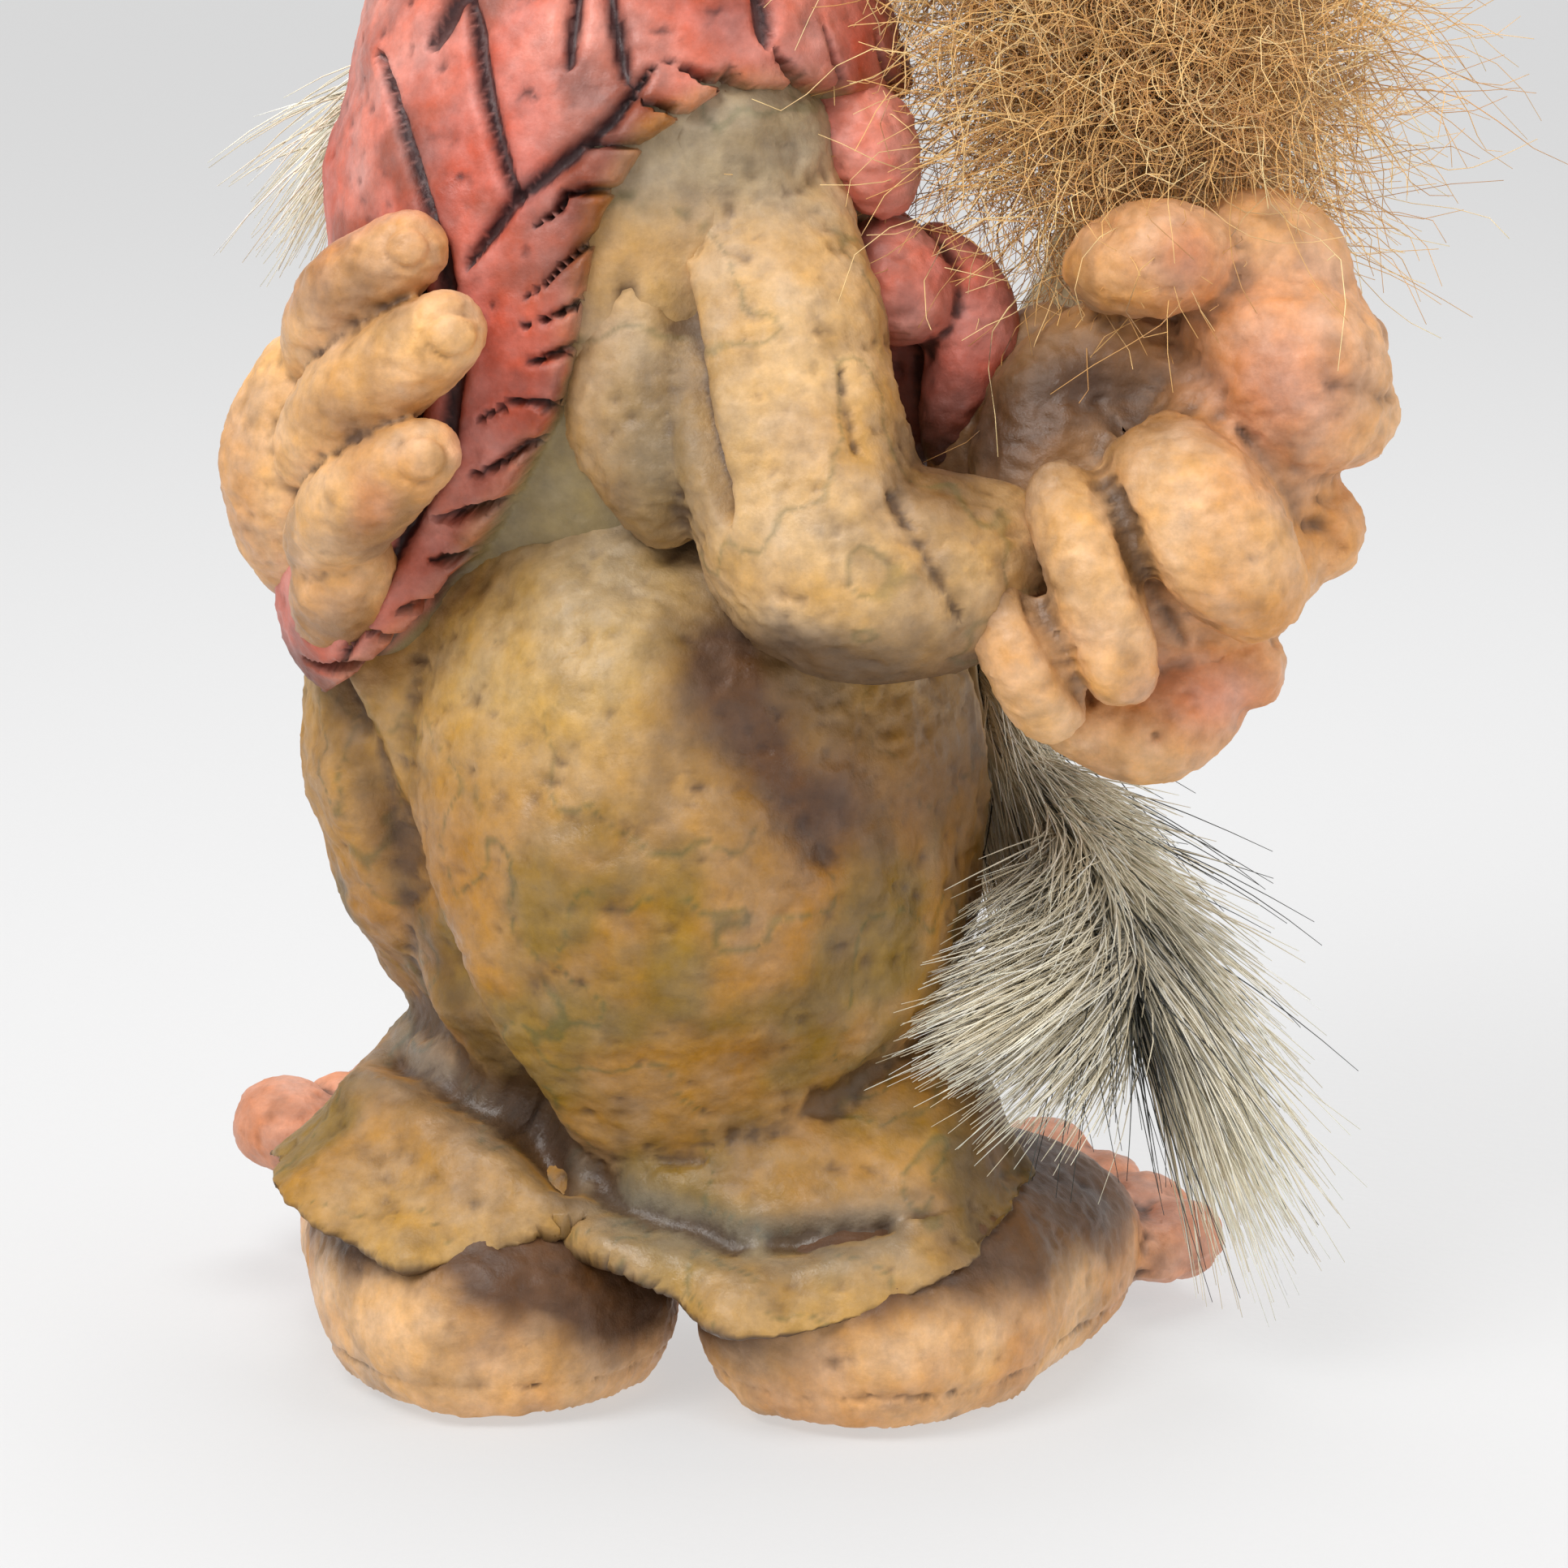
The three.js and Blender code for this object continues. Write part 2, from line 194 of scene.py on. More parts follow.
def path_axes(path, shares, reach, thin):
    """Three unit directions at each share of a path: along it, taken over `reach` to both sides,
    the part of `thin` square to that, and the one square to both."""
    shares = np.asarray(shares)
    before, after = np.clip(shares - reach, 0, 1), np.clip(shares + reach, 0, 1)
    ahead = path_points(path, after) - path_points(path, before)
    ahead /= np.linalg.norm(ahead, axis=1)[:, None]
    thin = np.asarray(thin, float)
    up = thin - ahead * (ahead @ thin)[:, None]
    up /= np.linalg.norm(up, axis=1)[:, None]
    return ahead, up, np.cross(up, ahead)


def rows_to_mesh(rows):
    """Rings (rows x around x 3) as points and faces. The first and last rings are single points."""
    count, around = rows.shape[:2]
    points = np.vstack((rows[:1, 0], rows[1:-1].reshape(-1, 3), rows[-1:, 0]))
    ring = 1 + np.arange((count - 2) * around).reshape(count - 2, around)
    nxt = np.roll(ring, -1, axis=1)
    quads = np.stack((ring[:-1], nxt[:-1], nxt[1:], ring[1:]), axis=-1).reshape(-1, 4)
    last = len(points) - 1
    top = np.stack((np.zeros(around, int), nxt[0], ring[0]), axis=-1)
    low = np.stack((np.full(around, last), ring[-1], nxt[-1]), axis=-1)
    return points, quads.tolist() + top.tolist() + low.tolist()


def limb(path, radii, flat=1.0, thin=(0, 1, 0), blunt=0.5, around=28, rows=22):
    """A rounded limb. At t = (1 - cos p) / 2 along the path its ring has radius
    radii(t) * sin(p)^(2 blunt), and `flat` times that along `thin`."""
    p = np.linspace(0, np.pi, rows)
    t = (1 - np.cos(p)) / 2
    centre = path_points(path, t)
    ahead, up, across = path_axes(path, t, 0.01, thin)
    radius = np.interp(t, np.linspace(0, 1, len(radii)), radii) * np.sin(p).clip(0) ** (2 * blunt)
    a = np.linspace(0, 2 * np.pi, around, endpoint=False)
    ring = np.cos(a)[None, :, None] * across[:, None] + np.sin(a)[None, :, None] * up[:, None] * flat
    return rows_to_mesh(centre[:, None] + radius[:, None, None] * ring)


def ball(centre, radius):
    """A limb as long as it is wide: a sphere."""
    centre = np.asarray(centre, float)
    reach = np.array((0, 0, radius))
    return limb((centre + reach, centre - reach), (radius, radius), around=20, rows=14)


# A trouser leg's section, from its top down the outside and back up inside: the share of the
# radius, the share of the height, and how much of the ruffle it takes.
LEG_PROFILE = (
    (0, 1, 0), (0.45, 0.98, 0), (0.75, 0.85, 0), (0.86, 0.6, 0), (0.9, 0.35, 0.2), (0.97, 0.15, 0.6),
    (1.03, 0.05, 1), (1.05, 0.0, 1), (1.0, -0.02, 1), (0.93, 0.0, 1), (0.86, 0.1, 0.8),
    (0.8, 0.25, 0.4), (0.5, 0.34, 0.2), (0, 0.36, 0),
)


def trouser_leg(top, foot, radius, hem, around=72):
    """A trouser leg: rings of LEG_PROFILE between `top` and a flared hem whose height is
    hem(angle). The profile rolls round the hem and goes back up inside, so the leg is hollow at
    its end. The ruffle is a ripple of the radius by sines of 7 and 13 times the angle."""
    a = np.linspace(0, 2 * np.pi, around, endpoint=False)
    edge = hem(a)
    ruffle = 1 + 0.035 * np.sin(7 * a + 1.0) + 0.02 * np.sin(13 * a)
    rows = []
    for share, height, frill in LEG_PROFILE:
        centre = np.asarray(foot, float) * (1 - height) + np.asarray(top, float) * height
        r = radius * share * (1 + (ruffle - 1) * frill)
        z = edge * (1 - height) + top[2] * height
        rows.append(np.stack((centre[0] + r * np.cos(a), centre[1] + r * np.sin(a), z), axis=-1))
    rows[0][:] = rows[0].mean(axis=0)
    rows[-1][:] = rows[-1].mean(axis=0)
    return rows_to_mesh(np.array(rows))


# ---------------------------------------------------------------- from forms to a casting

def linked(name, data):
    """A new object that shows the data, put in the scene."""
    thing = bpy.data.objects.new(name, data)
    bpy.context.scene.collection.objects.link(thing)
    return thing


def mesh_object(name, points, faces):
    """A mesh object of the points and faces as they stand."""
    mesh = bpy.data.meshes.new(name)
    mesh.from_pydata(np.asarray(points).tolist(), [], faces)
    mesh.update()
    return linked(name, mesh)


def set_bench_points(mesh, points):
    """Gives a mesh's vertices their places: bench points, carried to the figure's frame."""
    mesh.vertices.foreach_set("co", to_figure(points).astype(np.float32).ravel())


def joined(forms):
    """Several closed surfaces as one list of points and faces."""
    points, faces, start = [], [], 0
    for form_points, form_faces in forms:
        points.append(form_points)
        faces += [[start + corner for corner in face] for face in form_faces]
        start += len(form_points)
    return np.vstack(points), faces


def relaxed(points, edges, times):
    """Each point moved half way to the mean of its neighbours, `times` times."""
    count = len(points)
    degree = np.bincount(edges.ravel(), minlength=count)[:, None].clip(1)
    for _ in range(times):
        total = np.stack([
            np.bincount(edges[:, 0], points[edges[:, 1], k], count)
            + np.bincount(edges[:, 1], points[edges[:, 0], k], count) for k in range(3)], axis=-1)
        points = 0.5 * points + 0.5 * total / degree
    return points


def read_array(block, field, width, kind=np.float32):
    """One field of every item of a mesh's block, as rows of `width` numbers."""
    values = np.empty(len(block) * width, kind)
    block.foreach_get(field, values)
    return values.reshape(-1, width)


LEVEL_TIMES = 24  # relaxing steps that take a skin down to its general level


def casting(name, forms, voxel, relax, relief, paint, material, node):
    """One rubber casting. The forms are melted into one skin of `voxel` mm, relaxed, raised
    along their normals by relief(points, normals), and coloured by paint(points, normals,
    hollow), which gives a colour and a gloss for each point. The hollow of a point is how far
    it lies under the skin's general level, in mm."""
    rough = mesh_object(name + "_forms", *joined(forms))
    melt = rough.modifiers.new("Melt", "REMESH")
    melt.mode = "VOXEL"
    melt.voxel_size = voxel
    melt.use_smooth_shade = True
    bpy.context.view_layer.update()
    skin = bpy.data.meshes.new_from_object(rough.evaluated_get(bpy.context.evaluated_depsgraph_get()))
    bpy.data.objects.remove(rough)
    skin.name = name
    edges = read_array(skin.edges, "vertices", 2, np.int32)
    points = relaxed(read_array(skin.vertices, "co", 3).astype(float), edges, relax)

    def normals_of(at):
        skin.vertices.foreach_set("co", at.astype(np.float32).ravel())
        skin.update()
        return read_array(skin.vertex_normals, "vector", 3).astype(float)

    normals = normals_of(points)
    height = relief(points, normals)
    points = points + normals * height[:, None]
    normals = normals_of(points)
    level = relaxed(points, edges, LEVEL_TIMES)
    hollow = ((level - points) * normals).sum(axis=1)
    colour, gloss = paint(points, normals, hollow)
    put_colours(skin, colour, gloss)
    set_bench_points(skin, points)
    skin.update()
    finish_piece(linked(name, skin), material, node)


def put_colours(mesh, colour, gloss):
    """Keeps a colour and a gloss on each point, where the materials read them."""
    rgba = np.ones((len(colour), 4), np.float32)
    rgba[:, :3] = np.clip(colour, 0, 1)
    mesh.attributes.new("paint", "FLOAT_COLOR", "POINT").data.foreach_set("color", rgba.ravel())
    shine = np.clip(gloss, 0, 1).astype(np.float32)
    mesh.attributes.new("gloss", "FLOAT", "POINT").data.foreach_set("value", shine)


def finish_piece(piece, material, nodes):
    """Smooth faces and one material, and the piece's place in the figure's frame."""
    piece.data.materials.clear()
    piece.data.materials.append(material)
    piece.data.polygons.foreach_set("use_smooth", np.ones(len(piece.data.polygons), bool))
    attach(piece, "root")
    if nodes:
        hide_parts(*([nodes] if isinstance(nodes, str) else nodes))


# ---------------------------------------------------------------- paint

def shade(red, green, blue):
    """A display colour (0..255) as the linear colour that the shaders take."""
    c = np.array((red, green, blue)) / 255
    return np.where(c < 0.04045, c / 12.92, ((c + 0.055) / 1.055) ** 2.4)


def mixed(base, over, amount):
    """Base colour with `over` laid on by `amount` (one number for each point)."""
    amount = np.clip(amount, 0, 1)[:, None]
    return base * (1 - amount) + over * amount


OCHRE = shade(196, 158, 96)
OCHRE_DEEP = shade(170, 120, 56)
OLIVE = shade(128, 104, 42)
BOTTLE = shade(74, 84, 44)
GREY_BLUE = shade(112, 116, 112)
UMBER = shade(66, 42, 27)
BROWN = shade(96, 64, 38)
RED = shade(200, 108, 92)
RED_LIT = shade(226, 146, 128)
RED_BROWN = shade(136, 66, 42)
PLUM = shade(52, 28, 30)
CREAM = shade(220, 180, 126)
FLESH = shade(230, 180, 124)
PINK = shade(208, 138, 112)
COAT_INSIDE = shade(150, 132, 92)
SHIRT_GREY = shade(150, 140, 118)
SHIRT_FOLD_SHADE = shade(112, 100, 74)
FIST_TAN = shade(214, 156, 100)
HAND_TAN = shade(206, 150, 98)
FOOT_TAN = shade(204, 146, 92)
EYE_WHITE = shade(226, 214, 190)
EYE_AMBER = shade(150, 92, 30)
EYE_BLACK = shade(10, 8, 8)


def under_colour(points, base, over, amount):
    """The first coat: `base` all over with `over` mottled on by `amount`."""
    return mixed(np.tile(base, (len(points), 1)), over, amount)


def clay_pits(points):
    """1 in small scattered pits about 1.3 mm across, 0 elsewhere."""
    return smooth(0.5, 0.9, layered(points, 1.3, 405, 2))


def hollow_shade_and_grime(points, colour, hollow, tint, strength, reach=0.3):
    """Painted shade: the tint darkens the hollows, fully from `reach` mm deep. A speckle of
    pits and brush marks is laid on with it."""
    grime = smooth(0.12, 0.8, layered(points * (1, 1, 0.7), 3.2, 401, 3))
    stay = smooth(0.02, reach + 0.06, hollow) + 0.34 * grime + 0.16 * clay_pits(points)
    return mixed(colour, tint, strength * np.clip(stay, 0, 1))


def new_material(name):
    """A material with its nodes, its links and its shader."""
    material = bpy.data.materials.new(name)
    material.use_nodes = True
    tree = material.node_tree
    return material, tree.nodes, tree.links, tree.nodes["Principled BSDF"]


def attribute_of(nodes, name):
    """A node that reads what put_colours keeps on the points."""
    node = nodes.new("ShaderNodeAttribute")
    node.attribute_name = name
    return node


def remapped(nodes, links, source, low, high, from_value, to_value):
    """The source's low..high stretched to from_value..to_value."""
    node = nodes.new("ShaderNodeMapRange")
    node.inputs["From Min"].default_value = low
    node.inputs["From Max"].default_value = high
    node.inputs["To Min"].default_value = from_value
    node.inputs["To Max"].default_value = to_value
    links.new(source, node.inputs["Value"])
    return node.outputs["Result"]


def paint_material(name):
    """Satin paint over rubber: the painted colour broken up by fine mottling, gloss where the
    varnish lies thick, and a fine skin of pores and brush marks."""
    material, nodes, links, shader = new_material(name)
    coords = nodes.new("ShaderNodeTexCoord")

    def noise(scale, detail, rough):
        node = nodes.new("ShaderNodeTexNoise")
        node.inputs["Scale"].default_value = scale
        node.inputs["Detail"].default_value = detail
        node.inputs["Roughness"].default_value = rough
        links.new(coords.outputs["Object"], node.inputs["Vector"])
        return node.outputs["Fac"]

    def ramp(source, low, high, from_value, to_value):
        return remapped(nodes, links, source, low, high, from_value, to_value)

    def relief(height, strength, distance):
        node = nodes.new("ShaderNodeBump")
        node.inputs["Strength"].default_value = strength
        node.inputs["Distance"].default_value = distance
        links.new(height, node.inputs["Height"])
        return node

    gloss = attribute_of(nodes, "gloss")
    vary = nodes.new("ShaderNodeHueSaturation")
    links.new(attribute_of(nodes, "paint").outputs["Color"], vary.inputs["Color"])
    links.new(ramp(noise(520, 5, 0.65), 0.3, 0.7, 0.8, 1.18), vary.inputs["Value"])
    links.new(ramp(noise(240, 4, 0.6), 0.3, 0.7, 0.86, 1.12), vary.inputs["Saturation"])
    links.new(vary.outputs["Color"], shader.inputs["Base Color"])
    rough = nodes.new("ShaderNodeMath")
    rough.operation = "SUBTRACT"
    links.new(ramp(noise(700, 3, 0.6), 0.3, 0.7, 0.5, 0.68), rough.inputs[0])
    links.new(ramp(gloss.outputs["Fac"], 0, 1, 0, 0.34), rough.inputs[1])
    links.new(rough.outputs["Value"], shader.inputs["Roughness"])
    shader.inputs["Specular IOR Level"].default_value = 0.45
    fine = relief(noise(900, 6, 0.7), 0.35, 0.0004)
    broad = relief(noise(260, 4, 0.55), 0.5, 0.0005)
    links.new(broad.outputs["Normal"], fine.inputs["Normal"])
    links.new(fine.outputs["Normal"], shader.inputs["Normal"])
    return material


def facing_maker(normals):
    """1 where the skin faces the maker's side of the bench, 0 where it faces away."""
    return smooth(0.15, -0.25, normals[:, 1])


def skin_texture(points, seed, lump=0.35, wrinkle=0.12):
    """Modelled clay: low lumps some 6 mm across, short ridged wrinkles about 2 mm apart where a
    noise passes through 0, and small pits."""
    ridged = 1 - np.abs(layered(points * (1, 1, 1.6), 2.2, seed + 9, 3))
    return lump * layered(points, 6, seed, 2) + wrinkle * (ridged - 0.75) * 2.4 - 0.08 * clay_pits(points)


# ---------------------------------------------------------------- trousers

BOTTOM_CREASE = ((-36, 57), (-33, 49), (-30, 40), (-27.5, 35), (-24, 29), (-20, 22), (-17, 18))
SAG_FOLD = ((-34, 26), (-28, 25), (-21, 22), (-14, 17.5), (-4, 15.5), (8, 16.5))
UNDER_ELBOW = ((-9, 76), (-7, 68), (-4, 60), (1, 52), (4, 46))


def rise_at(angle, at, wide):
    """1 where the angle is `at` degrees, falling off to exp(-1) `wide` degrees away."""
    gap = (angle - math.radians(at) + np.pi) % (2 * np.pi) - np.pi
    return np.exp(-(gap / math.radians(wide)) ** 2)


def trousers_forms():
    """The seat, a fold on each side of it, and two legs whose hems rise and sink with the angle."""
    def right_hem(a):
        return (12.4 - 3.0 * rise_at(a, -95, 44) + 2.6 * rise_at(a, -145, 20) + 4.0 * rise_at(a, 5, 55)
                + 0.3 * np.sin(5 * a))

    def left_hem(a):
        return (14.8 - 1.9 * rise_at(a, -98, 36) + 1.6 * rise_at(a, -55, 18) + 2.0 * rise_at(a, 180, 50)
                + 0.3 * np.sin(4 * a))

    return [
        limb(((-9, 1, 77), (-8.5, -1, 48), (-7, -1, 15)), (17, 22.5, 24, 24, 20), 1.08, blunt=0.34,
             around=48, rows=40),
        limb(((-23, 5, 72), (-25.5, 5, 48), (-21, 4, 22)), (11, 14.5, 12, 10), 1.25, blunt=0.4),
        limb(((-6, 12, 74), (-2, 14, 48), (-8, 12, 24)), (15, 18, 15), blunt=0.4),
        trouser_leg((0, 0, 30), (1, -9, 12), 18, right_hem),
        trouser_leg((-18, 4, 29), (-25.5, -4, 14), 15.8, left_hem),
    ]


def trousers_relief(points, normals):
    """Clay texture, less the carved creases and tucks, plus the roll over the sag fold."""
    flat = points[:, (0, 2)]
    near = facing_maker(normals)
    crease = carved(flat, BOTTOM_CREASE, 2.2, near)
    fold = carved(flat, SAG_FOLD, 1.6, near)
    over = np.exp(-((along_line(flat, SAG_FOLD)[0] + 3.2) / 2.2) ** 2) * near
    tuck = carved(flat, UNDER_ELBOW, 4.5, near)
    dimple = spot(points, (-28, -16, 35), (2.2, 8, 2.6))
    height = skin_texture(points, 3, 0.65, 0.14)
    height = height - 2.4 * crease - 1.8 * fold + 0.8 * over - 1.3 * tuck - 2.0 * dimple
    return height + 0.8 * layered(points, 14, 5, 2)


def trousers_paint(points, normals, hollow):
    flat = points[:, (0, 2)]
    near = facing_maker(normals)
    broad = layered(points, 16, 21, 3)
    height = points[:, 2]
    colour = under_colour(points, OCHRE, OCHRE_DEEP, smooth(66, 44, height) * 0.85 + 0.3 * broad)
    green = smooth(-0.1, 0.7, layered(points, 9, 31, 3))
    colour = mixed(colour, OLIVE, 0.75 * green * smooth(62, 40, height))
    colour = mixed(colour, OCHRE, 0.55 * smooth(20, 12, height))
    veins = 1 - np.abs(layered(points, 11, 44, 3))
    colour = mixed(colour, BOTTLE, 0.5 * smooth(0.965, 0.995, veins) * smooth(66, 46, height))
    # Grey-blue along the sag fold: painted shade in the fold. The same line gives the fold its gloss.
    fold = np.exp(-(along_line(flat, SAG_FOLD)[0] / 2.4) ** 2) * near
    colour = mixed(colour, GREY_BLUE, 0.65 * fold)
    # Brown along the tuck below the elbow: painted shade under the arm.
    shade_under = np.exp(-(along_line(flat, UNDER_ELBOW)[0] / 6.5) ** 2) * near * smooth(41, 50, height)
    colour = mixed(colour, BROWN, 1.1 * shade_under * np.clip(0.75 + 0.9 * broad, 0, 1))
    # Darker on the right of the seat, under the fist and the beard: painted shade.
    colour = mixed(colour, UMBER, 0.55 * smooth(9, 15, points[:, 0] + 3 * broad) * near)
    colour = mixed(colour, GREY_BLUE, 0.5 * spot(points, (-14, -20, 70), (9, 12, 7)))
    # Painted shade in the bottom crease.
    colour = mixed(colour, UMBER, 0.5 * np.exp(-(along_line(flat, BOTTOM_CREASE)[0] / 1.6) ** 2) * near)
    colour = hollow_shade_and_grime(points, colour, hollow, UMBER, 0.75)
    # Darker where the skin faces down, low on the legs: painted shade under the hems.
    colour = mixed(colour, UMBER, 0.9 * smooth(0.1, -0.7, normals[:, 2]) * smooth(19, 13, height))
    gloss = 0.35 + 0.5 * layered(points, 8, 51, 2) + 0.6 * fold
    return colour, gloss


# ---------------------------------------------------------------- waistcoat and torso

# The waistcoat's cut edge on the maker's side and on the far side, and the grooves in its back.
HEM_NEAR = (
    (-42, 54), (-36, 55.5), (-30, 61), (-27, 64), (-21.5, 73), (-17.5, 80), (-16, 86), (-14, 95),
    (-10, 101), (-4, 104.5), (4, 104), (12, 101),
)
HEM_FAR = ((-42, 56), (-36, 57), (-24, 60), (-10, 66), (-4, 76), (0, 90), (3, 100), (5, 112), (7, 126))
FRINGE_STEP = 4.4
FRINGE_DEPTH = 4.6
FRINGE_UNEVEN = 2.4
COAT_GROOVES = (
    ((-24, 112), (-22.6, 104), (-20.2, 96)), ((-10, 106), (-13, 102), (-20.5, 96), (-24, 91)),
    ((-31, 106), (-28.5, 99.5), (-26, 92), (-25, 83), (-26, 76), (-30, 68), (-34, 60)),
    ((-15.5, 112), (-16.2, 106)), ((-13.4, 113), (-11.8, 105)), ((-2, 112), (-1.2, 107.5)),
    ((-24, 112), (-27, 107)), ((-28, 90), (-27, 84), (-28.5, 78)), ((-6, 120), (-8, 113), (-16, 116)),
)


def coat_forms():
    """The body of the waistcoat and its left corner."""
    return [
        limb(((-14, 2, 56), (-13, 2, 84), (-11, 4, 108), (-6, 8, 124)), (24.5, 24.5, 23.5, 21, 17),
             blunt=0.27, around=56, rows=44),
        limb(((-30, -4, 53), (-30, -2, 64), (-24, 0, 76)), (9, 10.5, 9), 1.2, blunt=0.4),
    ]


def coat_edge(points):
    """How far inside the waistcoat's cut edge each point lies, and its place along the edge, mm."""
    flat = points[:, (0, 2)]
    near_gap, near_run, _ = along_line(flat, HEM_NEAR)
    far_gap, far_run, _ = along_line(flat, HEM_FAR)
    back = points[:, 1] < 4
    return np.where(back, near_gap, far_gap), np.where(back, near_run, far_run)


def coat_slits(points):
    """Fringe: wedge cuts FRINGE_STEP apart along the edge, leaning, wandering by a noise, of
    uneven depth and narrowing to nothing at their inner ends. 1 in a cut, 0 outside."""
    inside, run = coat_edge(points)
    wander = run + 2.0 * lattice_noise(points / 5, 77)
    place = np.abs((wander / FRINGE_STEP + 0.22 * inside) % 1 - 0.5) * FRINGE_STEP
    deep = FRINGE_DEPTH + FRINGE_UNEVEN * lattice_noise(points / 4, 79)
    wedge = smooth(0.95, 0.2, place / np.clip(1 - inside / deep, 0.05, 1))
    return wedge * smooth(deep, 0.55 * deep, inside) * smooth(-1.4, 0.2, inside)


def coat_relief(points, normals):
    """Clay texture and carved grooves inside the edge; beyond it the skin sinks into the torso."""
    inside, _ = coat_edge(points)
    flat = points[:, (0, 2)]
    near = facing_maker(normals)
    height = skin_texture(points, 8, 0.4, 0.1)
    for line in COAT_GROOVES:
        height -= 1.5 * carved(flat, line, 0.7, near)
        height += 0.4 * carved(flat, line, 2.2, near)
    mirror = np.stack((points[:, 0] + 3 * np.sin(points[:, 2] / 9), points[:, 2]), axis=-1)
    for line in COAT_GROOVES[:3]:
        height -= 1.2 * carved(mirror, line, 0.6, 1 - near)
    height -= 2.4 * coat_slits(points)
    return np.where(inside > 0, height, 0) - 3.6 * smooth(0.35, -0.35, inside)


def coat_paint(points, normals, hollow):
    inside, _ = coat_edge(points)
    flat = points[:, (0, 2)]
    near = facing_maker(normals)
    broad = layered(points, 12, 61, 3)
    colour = under_colour(points, RED, RED_LIT, 0.45 + 0.9 * broad)
    rust = 0.7 * smooth(0, 0.8, layered(points, 7, 66, 3)) + 0.4 * smooth(6, 0, inside)
    colour = mixed(colour, RED_BROWN, rust)
    colour = hollow_shade_and_grime(points, colour, hollow, PLUM, 0.85, 0.16)
    # Painted shade in the carved grooves.
    for line in COAT_GROOVES:
        colour = mixed(colour, PLUM, 0.95 * carved(flat, line, 0.6, near))
    # Painted shade in the fringe cuts.
    colour = mixed(colour, PLUM, 0.6 * coat_slits(points))
    colour = mixed(colour, OCHRE, 0.35 * smooth(2.2, 0.4, inside) * (0.5 + broad))
    colour = mixed(colour, COAT_INSIDE, smooth(0.1, -0.9, inside))
    return colour, 0.4 + 0.4 * layered(points, 6, 71, 2)


def tassel_forms():
    """One rounded lobe at the chest and three hanging together at the side."""
    return {
        "right_chest_tassel": [
            limb(((1.5, -3, 104), (6, -7, 99.5), (8.5, -9, 93.5)), (3.6, 4.6, 3.4), blunt=0.4),
        ],
        "right_side_tassel": [
            limb(((7, -4, 93), (9, -8, 88), (9.5, -9, 83.5)), (3.6, 4.6, 4), blunt=0.4),
            limb(((11, -3, 92.5), (14.5, -6, 84), (12, -8, 74)), (3.4, 4.2, 3.2), blunt=0.4),
            limb(((8, 2, 93), (11, 0, 82), (9, -2, 72)), (4, 5, 4), blunt=0.4),
        ],
    }


def tassel_paint(points, normals, hollow):
    broad = layered(points, 8, 62, 3)
    colour = under_colour(points, RED, RED_LIT, 0.3 + 0.9 * broad)
    # Darker towards the lower ends, where the lobes hang over the forearm: painted shade.
    colour = mixed(colour, UMBER, 0.9 * smooth(84, 74, points[:, 2] + 2 * broad))
    return hollow_shade_and_grime(points, colour, hollow, PLUM, 0.9, 0.2), 0.4 + 0.3 * broad


def torso_forms():
    """One barrel, bent forward at the top."""
    return [
        limb(((-13, 3, 70), (-12, 4, 84), (-11, 5, 104), (-5, 8, 118)), (19, 20, 19.5, 18, 14), 1.2,
             blunt=0.3, around=48, rows=36),
    ]


def sleeve_paint(points, normals, hollow):
    broad = layered(points, 12, 81, 3)
    colour = under_colour(points, CREAM, OCHRE_DEEP, 0.25 + 0.6 * broad)
    colour = mixed(colour, SHIRT_GREY, 0.75 * smooth(92, 100, points[:, 2] + 3 * broad))
    # Painted shade in the shirt's fold behind the arm.
    colour = mixed(colour, SHIRT_FOLD_SHADE, 0.85 * spot(points, (-9.5, -14, 77), (6, 20, 11)))
    # Darker towards the bottom: painted shade on the underside of the forearm.
    colour = mixed(colour, UMBER, 0.85 * smooth(68, 60, points[:, 2] + 3 * broad))
    # Painted shade on the top of the forearm, under the tassels.
    colour = mixed(colour, UMBER, 0.85 * spot(points, (12, -20, 76), (5, 12, 5)))
    veins = 1 - np.abs(layered(points, 9, 84, 3))
    colour = mixed(colour, BOTTLE, 0.4 * smooth(0.93, 0.99, veins))
    return hollow_shade_and_grime(points, colour, hollow, UMBER, 0.8), 0.3 + 0.4 * layered(points, 7, 88, 2)


def torso_relief(points, normals):
    flat = points[:, (0, 2)]
    near = facing_maker(normals)
    return skin_texture(points, 12) - 1.2 * carved(flat, ((-12, 90), (-12, 82), (-10, 72)), 1.2, near)


# ---------------------------------------------------------------- arms

def right_arm_forms():
    """The arm from shoulder to wrist, the cap of the shoulder and the shirt's fold behind it."""
    return [
        limb(((-3, -4, 101), (-1.5, -13, 88), (0.5, -19, 77), (4, -21.5, 69), (12, -20.5, 68),
              (20, -17, 70)), (9.5, 9.8, 9, 9, 9, 8.5), blunt=0.28, around=36, rows=44),
        limb(((-6.5, -3, 105.5), (-5.5, -8, 98), (-4, -13, 88)), (8.6, 10, 9), blunt=0.4),
        limb(((-8, -4, 98), (-11, -12, 86), (-10, -16.5, 76), (-8, -17, 69)), (8, 7.4, 6, 4.4), blunt=0.4),
    ]


def right_arm_relief(points, normals):
    flat = points[:, (0, 2)]
    near = facing_maker(normals)
    height = skin_texture(points, 14, 0.5, 0.15)
    height -= 2.4 * carved(flat, ((-9, 93), (-7.8, 87), (-6.5, 80), (-4.5, 73)), 1.0, near)
    height -= 0.8 * carved(flat, ((8, 75), (11, 70), (13, 66)), 1.0, near)
    height -= 0.6 * carved(flat, ((4.5, 84), (5.5, 78)), 0.7, near)
    return height


